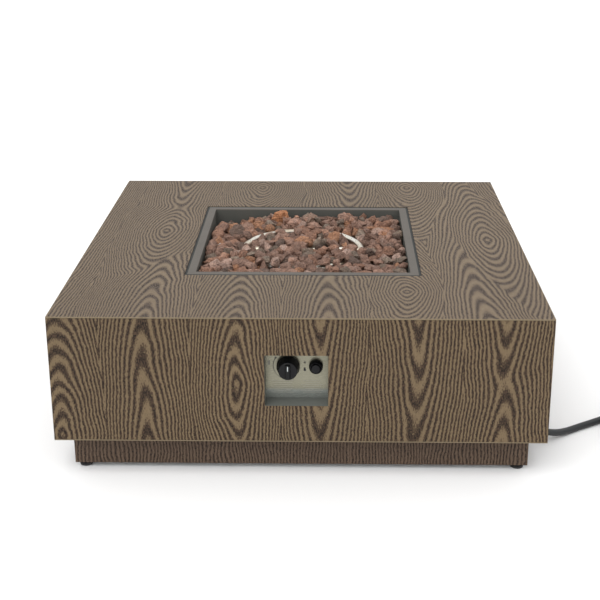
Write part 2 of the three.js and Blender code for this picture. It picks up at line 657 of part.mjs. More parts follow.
function plumbing() {
  const [ex, ey] = pilotPlace('electrode');
  const [tx, ty] = pilotPlace('thermocouple');
  const under = PAN_FLOOR_Z - 12 - GAP;
  const inletY = (VALVE_FRONT_Y + VALVE_BACK_Y) / 2;
  const [exitX, exitY, exitZ] = HOSE_EXIT;
  const inside = exitX - SIDE_SHEET;
  const back = IGNITER_BACK_Y + GAP;
  const union = [
    rodY(VALVE_CHAMBER_RADIUS - GAP, ROTOR_BACK_Y + GAP, VALVE_BACK_Y + 2, 20),
    rodY(VALVE_CHAMBER_RADIUS + 4, VALVE_BACK_Y + GAP, OUTLET_END_Y, 6),
  ].map((geometry) => geometry.translate(KNOB_X, 0, CONTROLS_Z));
  const branchY = BURNER_Y - ELBOW_REACH - GAP;
  const valveSide = KNOB_X - VALVE_HALF + 1 - GAP;
  const probe = turnedZ([
    [0, under], [PROBE_RADIUS, under], [PROBE_RADIUS, RING_Z + 2], [0, RING_Z + 5],
  ], 16).translate(tx, ty, 0);
  const capillary = tube([
    [tx, ty, under + 2], [tx, ty, under - 8], [tx - 2, ty - 14, under - 22], [tx + 10, ty - 120, under - 47],
    [valveSide - 30, VALVE_BACK_Y + 20, CONTROLS_Z - 7], [valveSide - 12, inletY, CONTROLS_Z],
    [valveSide, inletY, CONTROLS_Z],
  ], 1.5, 8, 18);
  return [
    mesh('inlet_hose', tube([
      [inside, exitY, exitZ], [inside - 60, exitY, exitZ + 1], [inside - 160, exitY - 5, exitZ + 6],
      [KNOB_X + 230, inletY + 75, exitZ + 14], [KNOB_X + 90, inletY + 50, SOFFIT_Z + 8],
      [KNOB_X + 18, inletY + 15, INLET_END_Z - 50], [KNOB_X, inletY, INLET_END_Z - 20],
      [KNOB_X, inletY, INLET_END_Z - GAP],
    ], HOSE_RADIUS, 8, 26), RUBBER),
    mesh('feed_pipe', join(...union, tube([
      [KNOB_X, OUTLET_END_Y - 3, CONTROLS_Z], [KNOB_X, OUTLET_END_Y + 30, CONTROLS_Z - 1],
      [KNOB_X + 3, OUTLET_END_Y + 110, CONTROLS_Z - 18], [BURNER_X - 4, branchY - 110, FEED_Z + 8],
      [BURNER_X, branchY - 30, FEED_Z], [BURNER_X, branchY, FEED_Z],
    ], 5, 8, 20)), ZINC),
    mesh('igniter_lead', tube([
      [IGNITER_X, back, CONTROLS_Z], [IGNITER_X, back + 20, CONTROLS_Z],
      [IGNITER_X - 15, back + 80, CONTROLS_Z - 9], [ex + 70, ey - 90, under - 31],
      [ex + 8, ey - 12, under - 16], [ex, ey, under - 6], [ex, ey, under],
    ], 1.75, 8, 18), RUBBER),
    mesh('thermocouple', join(probe, capillary), COPPER),
  ];
}

// ---- Gas hose and what is on its end -----------------------------------------------------

const GROMMET_NECK_RADIUS = HOSE_RADIUS + 3;

function grommet() {
  const bore = HOSE_RADIUS + GAP;
  const lip = GROMMET_NECK_RADIUS + 3.5;
  const outside = GAP;
  const inside = -SIDE_SHEET - GAP;
  const profile = [
    [bore, inside - 2.5], [lip, inside - 2.5], [lip, inside], [GROMMET_NECK_RADIUS, inside],
    [GROMMET_NECK_RADIUS, outside], [lip, outside], [lip - 1.2, outside + 2.5],
    [bore, outside + 2.5], [bore, inside - 2.5],
  ];
  return mesh('hose_grommet', turnedZ(profile, 20).rotateY(Math.PI / 2), RUBBER, HOSE_EXIT);
}

// The hose from the plinth down to the floor, to where its coil begins.
const HOSE_RUN = [
  [469, -352, 36], [487, -352, 35.6], [505, -350.5, 32.6], [523, -344.5, 26], [541, -335.5, 18.8],
  [557, -325, 13.4], [573, -313.5, 9.9], [589, -302, 8.2], [608, -289, 7.8], [627, -277, 7.7],
  [646, -265, 7.7], [665, -253, 7.7], [682, -242.3, 7.7], [699, -231.5, 7.7], [716, -220.8, 7.7],
  [732.6, -210.3, 7.7],
];
// The hose from the top of its coil to the regulator.
const HOSE_TAIL = [
  [732.6, -210.3, 22.7], [751, -198.7, 23], [770, -186.7, 24], [789, -174.7, 25.4],
  [808, -162.7, 26.4], [825, -152, 27],
];
const HOSE_HEADING = Math.atan2(12, 19); // of both, where they leave the coil

function gasHose() {
  const [cx, cy] = COIL_CENTRE;
  const coil = turnedZ([
    [COIL_INNER, 0], [COIL_OUTER, 0], [COIL_OUTER, COIL_HEIGHT], [COIL_INNER, COIL_HEIGHT],
    [COIL_INNER, 0],
  ], 40);
  const roomForCoil = rodZ(COIL_OUTER + GAP, -5, COIL_HEIGHT + 5, 40).translate(cx, cy, 0);
  const run = cut(tube(HOSE_RUN, HOSE_RADIUS, 10, 22), roomForCoil);
  const tail = cut(tube(HOSE_TAIL, HOSE_RADIUS, 10, 8), roomForCoil);
  return [
    mesh('gas_hose', run, RUBBER),
    mesh('gas_hose_coil', coil, RUBBER, [cx, cy, 0]),
    mesh('gas_hose_tail', tail, RUBBER),
  ];
}

// Crimp sleeve, regulator, brass connector and the hand nut that screws onto the bottle. They
// are made along +X from the end of the hose.
function regulator() {
  const ferrule = 30;
  const centre = ferrule + REGULATOR_RADIUS;
  const axis = HOSE_TAIL.at(-1)[2];
  const nutBack = centre + REGULATOR_RADIUS + 4;
  const nutFront = nutBack + 36;
  const rodX = (radius, low, high, sides = 20) => rodZ(radius, low, high, sides).rotateY(Math.PI / 2);
  const sleeve = rodX(HOSE_RADIUS + 2, GAP, ferrule - GAP);
  const drum = turnedZ([
    [0, -axis + 0.2], [REGULATOR_RADIUS - 9, -axis + 0.2], [REGULATOR_RADIUS - 5, -axis + 6],
    [REGULATOR_RADIUS - 4, -6], [REGULATOR_RADIUS, -5], [REGULATOR_RADIUS, 5],
    [REGULATOR_RADIUS - 3, 6], [REGULATOR_RADIUS - 5, 17], [REGULATOR_RADIUS - 20, 21], [0, 21],
  ]).translate(centre, 0, 0);
  const ports = rodX(12, ferrule, nutBack - GAP);
  const connector = join(rodX(8, nutBack, nutFront + 12, 16), rodX(13, nutFront - 20, nutFront - 14));
  const lobes = 8;
  const grip = rodX(NUT_RADIUS - 3, nutBack + GAP, nutFront, 24);
  const ribs = Array.from({ length: lobes }, (_, i) => rodX(4, nutBack + 4, nutFront - 2, 6)
    .translate(0, NUT_RADIUS - 4, 0)
    .rotateX((2 * Math.PI * i) / lobes));
  const nut = cut(join(grip, ...ribs), rodX(8 + 2 * GAP, nutBack - 5, nutFront + 5, 16),
    rodX(14, nutBack + 12, nutFront + 5));
  const group = assembly(
    HOSE_TAIL.at(-1),
    mesh('hose_ferrule', sleeve, ZINC),
    mesh('regulator', join(drum, ports), ZINC),
    mesh('bottle_connector', connector, BRASS),
    mesh('bottle_nut', nut, BLACK_PLASTIC),
  );
  group.rotation.z = HOSE_HEADING;
  return group;
}

// ---- The whole table ---------------------------------------------------------------------

const table = new THREE.Group();
table.name = 'fire_table';
table.add(
  ...casing(),
  ...cornerPosts(),
  ...panRails(),
  ...plinth(),
  ...feet(),
  firePan(),
  burner(),
  lavaRock(),
  ...pilot(),
  controlBox(),
  valve(),
  igniter(),
  ...plumbing(),
  grommet(),
  ...gasHose(),
  regulator(),
);

export default table;
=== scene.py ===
# %% [markdown]
# # A gas fire pit table
# This lesson dresses a low, square gas fire pit table: a folded sheet-metal casing embossed
# with wood grain, a steel pan of lava rock round a ring burner, a small control recess, and
# the gas hose. The measured model comes first, and every new piece is made round it.

# %% The measured model
import math
import random

import bmesh
import bpy
import numpy as np
from mathutils import Matrix, Vector, noise


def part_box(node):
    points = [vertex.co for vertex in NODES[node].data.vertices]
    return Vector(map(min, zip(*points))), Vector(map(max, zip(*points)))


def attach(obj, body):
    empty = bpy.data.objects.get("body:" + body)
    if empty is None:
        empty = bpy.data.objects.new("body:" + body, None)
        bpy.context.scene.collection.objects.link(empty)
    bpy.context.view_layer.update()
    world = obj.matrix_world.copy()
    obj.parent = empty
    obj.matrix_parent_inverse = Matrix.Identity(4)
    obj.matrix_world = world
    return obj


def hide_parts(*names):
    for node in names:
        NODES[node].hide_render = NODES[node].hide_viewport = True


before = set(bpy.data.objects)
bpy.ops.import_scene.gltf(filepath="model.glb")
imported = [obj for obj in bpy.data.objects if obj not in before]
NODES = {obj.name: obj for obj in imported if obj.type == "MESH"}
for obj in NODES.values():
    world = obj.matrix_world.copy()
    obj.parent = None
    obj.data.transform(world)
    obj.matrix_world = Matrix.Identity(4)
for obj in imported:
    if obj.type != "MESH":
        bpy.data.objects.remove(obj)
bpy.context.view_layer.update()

# %% [markdown]
# ## Camera
# A long lens from a little above keeps the sides of the table almost upright. The small shift
# sets the table in the frame as a studio camera does, without turning the camera.

# %% Camera
camera = bpy.data.objects.new("camera", bpy.data.cameras.new("camera"))
bpy.context.scene.collection.objects.link(camera)
camera.location = (0.0596, -2.6125, 1.2146)
camera.rotation_euler = (math.pi / 2 - 0.3213, 0, 0.0142)
camera.data.lens = 69.95
camera.data.sensor_width = 36
camera.data.shift_x = -0.025
camera.data.shift_y = -0.1
bpy.context.scene.camera = camera
print("camera at", tuple(round(c, 2) for c in camera.location))

# %% [markdown]
# ## Shader sums
# A node tree is easier to read as a sum. This class holds one output socket: adding or
# multiplying it adds a Math node, and its method node() makes any other node.


# %% Shader helper
class Tone:
    """One shader output, which can be used in sums."""

    def __init__(self, tree, socket=None):
        self.tree = tree
        self.socket = socket

    def node(self, kind, settings=None, inputs=None, output=0):
        made = self.tree.nodes.new("ShaderNode" + kind)
        for key, value in (settings or {}).items():
            if key == "stops":
                ramp = made.color_ramp
                ramp.elements.remove(ramp.elements[1])
                ramp.elements[0].position = value[0][0]
                ramp.elements[0].color = value[0][1]
                for place, tone in value[1:]:
                    ramp.elements.new(place).color = tone
            else:
                setattr(made, key, value)
        for key, value in (inputs or {}).items():
            if isinstance(value, Tone):
                self.tree.links.new(value.socket, made.inputs[key])
            else:
                made.inputs[key].default_value = value
        return Tone(self.tree, made.outputs[output])

    def math(self, operation, *others):
        inputs = {0: self}
        inputs.update({i + 1: other for i, other in enumerate(others)})
        return self.node("Math", {"operation": operation}, inputs)

    def __add__(self, other):
        return self.math("ADD", other)

    def __sub__(self, other):
        return self.math("SUBTRACT", other)

    def __rsub__(self, other):
        return self.node("Math", {"operation": "SUBTRACT"}, {0: other, 1: self})

    def __mul__(self, other):
        return self.math("MULTIPLY", other)

    __radd__ = __add__
    __rmul__ = __mul__

    def clear_step(self, low, high):
        """0 below low and 1 above high, with a soft step between them."""
        return self.node("MapRange", {"interpolation_type": "SMOOTHSTEP"},
                         {"Value": self, "From Min": low, "From Max": high})

    def between(self, first, second):
        """A colour from first, at 0, to second, at 1."""
        return self.node("Mix", {"data_type": "RGBA"}, {0: self, 6: first, 7: second}, 2)

    def noise(self, scale, detail=2.0, roughness=0.5):
        return self.node("TexNoise", None, {
            "Vector": self, "Scale": scale, "Detail": detail, "Roughness": roughness})

    def stretched(self, scale):
        return self.node("Mapping", None, {"Vector": self, "Scale": scale})


def colour(red, green, blue):
    """A shader colour from the 0 to 255 numbers of a colour picker."""
    def straight(part):
        part /= 255
        return part / 12.92 if part <= 0.04045 else ((part + 0.055) / 1.055) ** 2.4
    return (straight(red), straight(green), straight(blue), 1.0)


def new_paint(name):
    """An empty material, its output node, and a Tone to start from."""
    material = bpy.data.materials.new(name)
    material.use_nodes = True
    tree = material.node_tree
    tree.nodes.clear()
    start = Tone(tree)
    return material, start, start.node("TexCoord", output="Object")


def surface(start, base, rough, metal=0.0, height=None, depth=0.0, coat=0.0, shine=0.5):
    """Ends a material: one principled surface, with its bump, into the output."""
    inputs = {"Base Color": base, "Roughness": rough, "Metallic": metal,
              "Specular IOR Level": shine, "Coat Weight": coat}
    if height is not None:
        inputs["Normal"] = start.node("Bump", None, {"Height": height, "Distance": depth})
    shader = start.node("BsdfPrincipled", None, inputs)
    end = start.tree.nodes.new("ShaderNodeOutputMaterial")
    start.tree.links.new(shader.socket, end.inputs["Surface"])


def fine_paint(name, spots, detail, first, second, rough, vary=0.0, depth=None, **look):
    """A material whose tone, gloss and relief all follow one fine noise."""
    material, start, place = new_paint(name)
    fine = place.noise(spots, detail)
    if depth is not None:
        look.update(height=fine, depth=depth)
    surface(start, fine.between(first, second), rough + vary * fine if vary else rough, **look)
    return material


print("white is", colour(255, 255, 255))

# %% [markdown]
# ## Hose
# A low-pressure gas hose is a stiff rubber tube, 15 mm thick. It leaves the plinth through a
# grommet, sinks to the floor within a few diameters and runs off in one slow curve. The rest
# of its three metres is wound into a coil of four turns. One curve with a round bevel is the
# natural way to make it, because its centre line is then exactly the hose's own line.

# %% Rubber
hose_rubber, start, place = new_paint("hose_rubber")
dust = place.noise(45, 4)
fine = place.noise(900, 2)
surface(start, (dust * 0.6 + fine * 0.4).between(colour(17, 19, 20), colour(36, 39, 41)),
        0.36 + 0.2 * dust, height=fine, depth=0.0002)
print("rubber nodes", len(hose_rubber.node_tree.nodes))

# %% The hose's line
HOSE_RADIUS = 0.0075
HOSE_RUN = [
    (.469, -.352, .036), (.487, -.352, .0356), (.505, -.3505, .0326), (.523, -.3445, .026),
    (.541, -.3355, .0188), (.557, -.325, .0134), (.573, -.3135, .0099), (.589, -.302, .0082),
    (.608, -.289, .0078), (.627, -.277, .0077), (.646, -.265, .0077), (.665, -.253, .0078),
    (.682, -.2423, .0081), (.699, -.2315, .0085), (.716, -.2208, .0087),
]
HOSE_TAIL = [
    (.751, -.1987, .0238), (.770, -.1867, .0242), (.789, -.1747, .0254),
    (.808, -.1627, .0264), (.825, -.152, .027),
]
COIL_CENTRE = (.7793, -.2844)
COIL_RINGS = (.0875, .0725)
COIL_LEVELS = (.0087, .0237)
# Angles in degrees. The last three are how far the hose has turned as it changes ring or level.
COIL_START, COIL_END, STEP = 122.3, 4 * 360, 15
GO_IN, GO_OUT, GO_UP = (300, 360), (1020, 1080), (650, 730)


def ease(turn, begin, end):
    """0 before begin, 1 after end, and smooth between."""
    share = min(1, max(0, (turn - begin) / (end - begin)))
    return share * share * (3 - 2 * share)


coil_line = []
for turn in range(0, COIL_END + STEP, STEP):
    inner = ease(turn, *GO_IN) - ease(turn, *GO_OUT)
    upper = ease(turn, *GO_UP)
    ring = COIL_RINGS[0] + (COIL_RINGS[1] - COIL_RINGS[0]) * inner
    level = COIL_LEVELS[0] + (COIL_LEVELS[1] - COIL_LEVELS[0]) * upper
    angle = math.radians(COIL_START - turn)
    coil_line.append((COIL_CENTRE[0] + ring * math.cos(angle),
                      COIL_CENTRE[1] + ring * math.sin(angle), level))
line = HOSE_RUN + coil_line + HOSE_TAIL
length = sum(math.dist(a, b) for a, b in zip(line, line[1:]))
print("hose points", len(line), "length", round(length, 3))

# %% The hose
curve = bpy.data.curves.new("rubber_hose", "CURVE")
curve.dimensions = "3D"
curve.bevel_depth = HOSE_RADIUS
curve.bevel_resolution = 5
curve.resolution_u = 5
curve.use_fill_caps = True
spline = curve.splines.new("BEZIER")
spline.bezier_points.add(len(line) - 1)
for point, spot in zip(spline.bezier_points, line):
    point.co = spot
    point.handle_left_type = point.handle_right_type = "AUTO"
hose = bpy.data.objects.new("rubber_hose", curve)
bpy.context.scene.collection.objects.link(hose)
hose.data.materials.append(hose_rubber)
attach(hose, "table")
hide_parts("gas_hose", "gas_hose_coil", "gas_hose_tail")
print("hose from", line[0], "to", line[-1])

# %% [markdown]
# ## Ties
# A stored coil is held by short hook-and-loop straps. A strap is a thin band round the bundle:
# a box with rounded long edges, open at both sides, and then given a thickness.


# %% Pieces from a shape
def piece(name, shape, material, body="table", stands_for=()):
    """Makes a bmesh a named piece that rides on a body."""
    mesh = bpy.data.meshes.new(name)
    shape.to_mesh(mesh)
    shape.free()
    made = bpy.data.objects.new(name, mesh)
    bpy.context.scene.collection.objects.link(made)
    mesh.materials.append(material)
    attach(made, body)
    if stands_for:
        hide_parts(*stands_for)
    return made


def round_off(shape, edges, width, segments=2):
    bmesh.ops.bevel(shape, geom=edges, offset=width, affect="EDGES", segments=segments,
                    profile=0.5, material=-1, offset_type="OFFSET", clamp_overlap=True)


def block(low, high):
    """A box between two corners, as a bmesh."""
    shape = bmesh.new()
    low, high = Vector(low), Vector(high)
    bmesh.ops.create_cube(shape, size=1)
    bmesh.ops.scale(shape, vec=high - low, verts=shape.verts)
    bmesh.ops.translate(shape, vec=(low + high) / 2, verts=shape.verts)
    return shape


# %% Straps
STRAP_HALF, STRAP_WIDE, STRAP_TALL = .017, .014, .0328
STRAP_CORNER, STRAP_THICK = .0072, .0010
COIL_MIDDLE = .080
strap_fabric = fine_paint("strap_fabric", 1400, 3, colour(14, 14, 15), colour(44, 44, 46), 0.95,
                          depth=0.0006)
for number, angle in enumerate((20, 205)):
    strap = block((-STRAP_HALF, -STRAP_WIDE / 2, 0), (STRAP_HALF, STRAP_WIDE / 2, STRAP_TALL))
    across = [e for e in strap.edges if abs(e.verts[0].co.y - e.verts[1].co.y) > STRAP_WIDE / 2]
    round_off(strap, across, STRAP_CORNER, 5)
    ends = [f for f in strap.faces if abs(f.normal.y) > .9]
    bmesh.ops.delete(strap, geom=ends, context="FACES_ONLY")
    bmesh.ops.solidify(strap, geom=strap.faces, thickness=STRAP_THICK)
    aside = Matrix.Rotation(math.radians(angle), 4, "Z") @ Matrix.Translation((COIL_MIDDLE, 0, 0))
    bmesh.ops.transform(strap, matrix=Matrix.Translation((*COIL_CENTRE, 0)) @ aside,
                        verts=strap.verts)
    piece(f"coil_strap_{number + 1}", strap, strap_fabric)

# %% [markdown]
# ## Wood grain on sheet metal
# The casing is steel sheet with a printed and embossed ash grain. Ash shows cathedral arches:
# each is a set of long pointed ovals round a heart, and the rings of neighbouring hearts meet
# in a soft crease. So the pattern is a distance: from every point to the nearest heart, with
# the sheet's length squeezed. Its whole numbers are the rings. Fine streaks break the dark
# half of each ring into pores, and the same dark lines are pressed into the sheet.


# %% Grain
# A heart is its place across and along the sheet, the width and reach of one ring, and the
# number of its first ring.
POINT = 1.35  # 2 makes round ovals, and 1 makes diamonds
FAN = 1.35  # above 1, the rings crowd together away from their heart
MELT = 0.7  # how softly the rings of two hearts meet, in rings
# How far slow, middling and quick noise push the rings sideways, in metres.
WANDER, SWAY, SHIVER = 0.026, 0.010, 0.0040
SWAY_ALONG = 0.05
PORE_WIDE, PORE_LONG = 0.0019, 0.0068
DARK_FROM, DARK_TO = 0.20, 0.32  # how far from a ring's middle the dark ends, in rings
RAGGED = 1.15  # how much the pores fray the dark's edge


def grain(place, across, along, hearts, seed):
    """Dark 0 to 1 for the rings round the hearts, with the pores that break them."""
    wander = place.noise(5 + seed, 1)
    sway = place.noise(13 + seed, 1)
    shiver = place.noise(85, 2)
    parts = {axis: place.node("SeparateXYZ", None, {0: place}, axis) for axis in "XYZ"}
    a = (parts[across] + (wander - 0.5) * WANDER + (sway - 0.5) * SWAY
         + (shiver - 0.5) * SHIVER)
    b = parts[along] + (sway - 0.5) * SWAY_ALONG
    field = None
    for middle, height, width, reach, first in hearts:
        beside = ((a - middle) * (1 / width)).math("ABSOLUTE").math("POWER", FAN * POINT)
        above = ((b - height) * (1 / reach)).math("ABSOLUTE").math("POWER", POINT)
        rings = (beside + above).math("POWER", 1 / POINT) + first
        field = rings if field is None else field.math("SMOOTH_MIN", rings, MELT)
    off_middle = (field.math("FRACT") - 0.5).math("ABSOLUTE")
    cells = {across: 1 / PORE_WIDE, along: 1 / PORE_LONG}
    pores = place.stretched(tuple(cells.get(axis, 200) for axis in "XYZ")).noise(1, 1, 0.6)
    edge = off_middle + (pores - 0.5) * RAGGED
    band = 1 - edge.clear_step(DARK_FROM, DARK_TO)
    return band, pores.clear_step(0.40, 0.58)


def scaled(tone, share):
    return (tone[0] * share, tone[1] * share, tone[2] * share, 1)


def grained(name, across, along, hearts, seed, light, dark, fold=None):
    """A wood-grain material. fold is the half-width beyond which a cut edge shows."""
    material, start, place = new_paint(name)
    band, pores = grain(place, across, along, hearts, seed)
    cloud = place.noise(4, 2)
    pale = (cloud * 0.6 + pores * 0.4).between(scaled(light, 1.18), scaled(light, 0.78))
    deep = (band * pores).between(scaled(dark, 2.7), scaled(dark, 0.45))
    tone = band.node("Mix", {"data_type": "RGBA"}, {0: band, 6: pale, 7: deep}, 2)
    if fold is not None:
        sides = place.node("VectorMath", {"operation": "ABSOLUTE"}, {0: place})
        x = sides.node("SeparateXYZ", None, {0: sides}, "X")
        y = sides.node("SeparateXYZ", None, {0: sides}, "Y")
        cut = x.math("MAXIMUM", y).clear_step(fold, fold + 0.0006)
        tone = cut.node("Mix", {"data_type": "RGBA"}, {0: cut, 6: tone, 7: EDGE_TAN}, 2)
    surface(start, tone, 0.56 + 0.14 * pores, height=1 - band * (0.4 + 0.6 * pores),
            depth=0.0008, shine=0.24)
    return material


EDGE_TAN = colour(126, 112, 90)
FRONT_LIGHT, FRONT_DARK = colour(111, 94, 71), colour(42, 31, 22)
TOP_LIGHT, TOP_DARK = colour(118, 103, 84), colour(56, 46, 38)
PLINTH_LIGHT, PLINTH_DARK = colour(96, 79, 65), colour(41, 31, 24)
FRONT_HEARTS = [
    (-.482, .092, .0155, .034, .1), (-.311, -.010, .0150, .080, 0), (-.127, .200, .0143, .042, 0),
    (.045, .405, .0146, .068, 0), (.234, .425, .0150, .074, 0), (.403, .445, .0150, .062, .2),
    (.411, .000, .0150, .054, 0),
]
TOP_HEARTS = [
    (-.333, .056, .0143, .030, 0), (-.640, -.100, .0134, .090, 0), (-.560, .560, .0146, .080, 0),
    (-.307, -.560, .0139, .052, 0), (-.129, -.600, .0139, .046, 0), (.060, -.620, .0143, .070, 0),
    (.216, -.353, .0134, .022, 0), (.370, -.640, .0143, .070, 0), (.600, -.120, .0143, .080, 0),
    (.427, -.009, .0146, .040, 0), (.520, .620, .0143, .060, 0), (-.127, .429, .0143, .024, 0),
    (-.330, .640, .0139, .070, 0), (.110, .640, .0143, .060, 0), (.260, .430, .0139, .026, 0),
]
SIDE_HEARTS = [
    (-.420, .410, .0155, .070, 0), (-.250, .050, .0150, .084, 0), (-.060, .215, .0143, .042, 0),
    (.120, .420, .0155, .072, 0), (.290, .060, .0150, .084, 0), (.450, .190, .0150, .040, 0),
]
REAR_HEARTS = [
    (-.440, .190, .0150, .040, 0), (-.280, .420, .0155, .072, 0), (-.100, .050, .0150, .084, 0),
    (.090, .230, .0143, .042, 0), (.250, .410, .0150, .070, 0), (.420, .050, .0155, .080, 0),
]
STRAIGHT = [(-1.1, .05, .0310, .60, 0), (1.3, .05, .0310, .60, 0.4)]
wood_top = grained("wood_top", "X", "Y", TOP_HEARTS, 0, TOP_LIGHT, TOP_DARK, .4982)
wood_front = grained("wood_front", "X", "Z", FRONT_HEARTS, 0, FRONT_LIGHT, FRONT_DARK)
wood_rear = grained("wood_rear", "X", "Z", REAR_HEARTS, 1, FRONT_LIGHT, FRONT_DARK)
wood_side = grained("wood_side", "Y", "Z", SIDE_HEARTS, 2, FRONT_LIGHT, FRONT_DARK)
wood_under = grained("wood_under", "X", "Y", STRAIGHT, 3, PLINTH_LIGHT, PLINTH_DARK, .4982)
plinth_long = grained("plinth_long", "X", "Z", STRAIGHT, 4, PLINTH_LIGHT, PLINTH_DARK)
plinth_side = grained("plinth_side", "Y", "Z", STRAIGHT, 5, PLINTH_LIGHT, PLINTH_DARK)
print("grain nodes", len(wood_front.node_tree.nodes))

# %% [markdown]
# ## Casing panels
# Each panel is a folded sheet. Its measured mesh is right in shape but its edges are
# perfectly sharp, and no folded or laser-cut edge is. So a merged copy gets a narrow bevel,
# which catches a thin line of light, and stands for the measured one.


# %% Softened copies
def merged(node):
    """A bmesh of a measured node, with its loose triangles joined."""
    shape = bmesh.new()
    shape.from_mesh(NODES[node].data)
    bmesh.ops.remove_doubles(shape, verts=shape.verts, dist=1e-6)
    bmesh.ops.dissolve_limit(shape, angle_limit=math.radians(1), verts=shape.verts,
                             edges=shape.edges)
    return shape


def smooth_turned(shape, limit=42):
    """Smooth shading, with creases kept where faces meet at more than the limit."""
    for face in shape.faces:
        face.smooth = True
    for edge in shape.edges:
        edge.smooth = len(edge.link_faces) == 2 and edge.calc_face_angle(0) < math.radians(limit)


def softened(node, name, material, width, segments=2, body="table", smooth=False):
    """A bevelled copy of a node that stands for it."""
    shape = merged(node)
    sharp = [e for e in shape.edges
             if len(e.link_faces) == 2 and e.calc_face_angle(0) > math.radians(38)]
    round_off(shape, sharp, width, segments)
    if smooth:
        smooth_turned(shape)
    return piece(name, shape, material, body, (node,))


# %% Casing and plinth
PANELS = [
    ("top_panel", "top_sheet", wood_top, .0007), ("front_panel", "front_sheet", wood_front, .0004),
    ("rear_panel", "rear_sheet", wood_rear, .0004), ("left_panel", "left_sheet", wood_side, .0004),
    ("right_panel", "right_sheet", wood_side, .0004),
]
DARK_PANELS = [
    ("soffit_panel", "soffit_sheet", wood_under, .0005),
    ("front_plinth", "plinth_front_sheet", plinth_long, .0004),
    ("rear_plinth", "plinth_rear_sheet", plinth_long, .0004),
    ("left_plinth", "plinth_left_sheet", plinth_side, .0004),
    ("right_plinth", "plinth_right_sheet", plinth_side, .0004),
]
for slot, panels in (("grain_casing", PANELS), ("grain_plinth", DARK_PANELS)):
    for node, name, wood, width in panels:
        softened(node, name, wood, width)

# %% [markdown]
# ## Frame, base plate and feet
# Inside stand zinc-coated corner posts and square tubes in black paint, and below lies a
# zinc-coated base plate with air slots. They are seen only from below or through the slots,
# and their measured shapes are right, so they only get their finishes. Zinc shows a faint
# crystal pattern, which a cell texture gives.


# %% Metal finishes
def finish_node(material, *nodes):
    for node in nodes:
        NODES[node].data.materials.clear()
        NODES[node].data.materials.append(material)


def metal(name, first, second, rough, spots=320, cells=False, depth=0.00015, metallic=1.0):
    """A metal whose tone and gloss vary in fine spots or crystals."""
    material, start, place = new_paint(name)
    if cells:
        tint = place.node("TexVoronoi", None, {"Vector": place, "Scale": spots}, "Color")
        mask = tint.node("SeparateColor", None, {0: tint})
    else:
        mask = place.noise(spots, 4)
    smear = place.noise(30, 3)
    surface(start, (mask * 0.6 + smear * 0.4).between(first, second), rough + 0.16 * smear,
            metallic, height=place.noise(spots * 3, 2), depth=depth)
    return material


frame_steel = metal("frame_steel", colour(24, 24, 25), colour(38, 38, 39), 0.5, metallic=0.0)
galvanised = metal("galvanised", colour(150, 152, 152), colour(196, 198, 198), 0.42, 160, True)
stud_zinc = metal("stud_zinc", colour(165, 166, 166), colour(200, 200, 198), 0.35)
brass = metal("brass", colour(176, 140, 76), colour(212, 178, 104), 0.30)
copper = metal("copper", colour(176, 108, 74), colour(206, 140, 100), 0.32)
stainless = metal("stainless", colour(188, 184, 176), colour(222, 220, 214), 0.24)
finish_node(frame_steel, "pan_rail_left", "pan_rail_right", "pan_rail_front", "pan_rail_rear")
CORNERS = ("front_left", "front_right", "rear_right", "rear_left")
finish_node(galvanised, "base_plate", "burner_locknut", "valve_nut", "valve_stem", "feed_pipe",
            *(f"corner_post_{corner}" for corner in CORNERS))
finish_node(brass, "air_mixer", "jet_elbow", "valve_body", "valve_rotor", "inlet_fitting")
finish_node(copper, "thermocouple", "battery")
finish_node(stud_zinc, *(f"foot_stud_{corner}" for corner in CORNERS))
finish_node(stainless, "pilot_bracket")
finish_node(hose_rubber, "inlet_hose", "igniter_lead")
print("metals", [m.name for m in bpy.data.materials if m.name in
                 ("frame_steel", "galvanised", "stud_zinc", "brass", "copper", "stainless")])


# %% Turned pieces
def turned(profile, steps=48):
    """Spins a profile of (radius, height) points about Z, as a closed bmesh."""
    shape = bmesh.new()
    points = [shape.verts.new((radius, 0, height)) for radius, height in profile]
    edges = [shape.edges.new(pair) for pair in zip(points, points[1:])]
    bmesh.ops.spin(shape, geom=points + edges, cent=(0, 0, 0), axis=(0, 0, 1),
                   angle=2 * math.pi, steps=steps, use_merge=True)
    bmesh.ops.remove_doubles(shape, verts=shape.verts, dist=1e-6)
    bmesh.ops.recalc_face_normals(shape, faces=shape.faces)
    smooth_turned(shape)
    return shape


def put(shape, spot, towards=(0, 0, 1)):
    """Turns a shape's Z to a direction and moves it to its place."""
    turn = Vector(towards).to_track_quat("Z", "Y").to_matrix().to_4x4()
    bmesh.ops.transform(shape, matrix=Matrix.Translation(spot) @ turn, verts=shape.verts)
    return shape


# %% [markdown]
# The feet are domed plastic glides on threaded studs. A glide is turned on a lathe-like mould,
# so it is a spun profile.

# %% Glides
foot_plastic = fine_paint("foot_plastic", 240, 4, colour(16, 16, 17), colour(34, 34, 35), 0.34,
                          vary=0.3, depth=0.0002)
for corner in CORNERS:
    low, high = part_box(f"foot_pad_{corner}")
    under = ((low.x + high.x) / 2, (low.y + high.y) / 2, low.z)
    radius, tall = (high.x - low.x) / 2, high.z - low.z
    glide = turned([(0, 0), (radius * .80, 0), (radius * .95, .0008), (radius, .0030),
                    (radius * .985, .0055), (radius * .86, tall * .55), (radius * .66, tall * .84),
                    (radius * .50, tall * .96), (radius * .44, tall), (0, tall)])
    piece(f"glide_{corner}", put(glide, under), foot_plastic,
          f"foot_{corner}", (f"foot_pad_{corner}",))
print("glides", radius, tall)
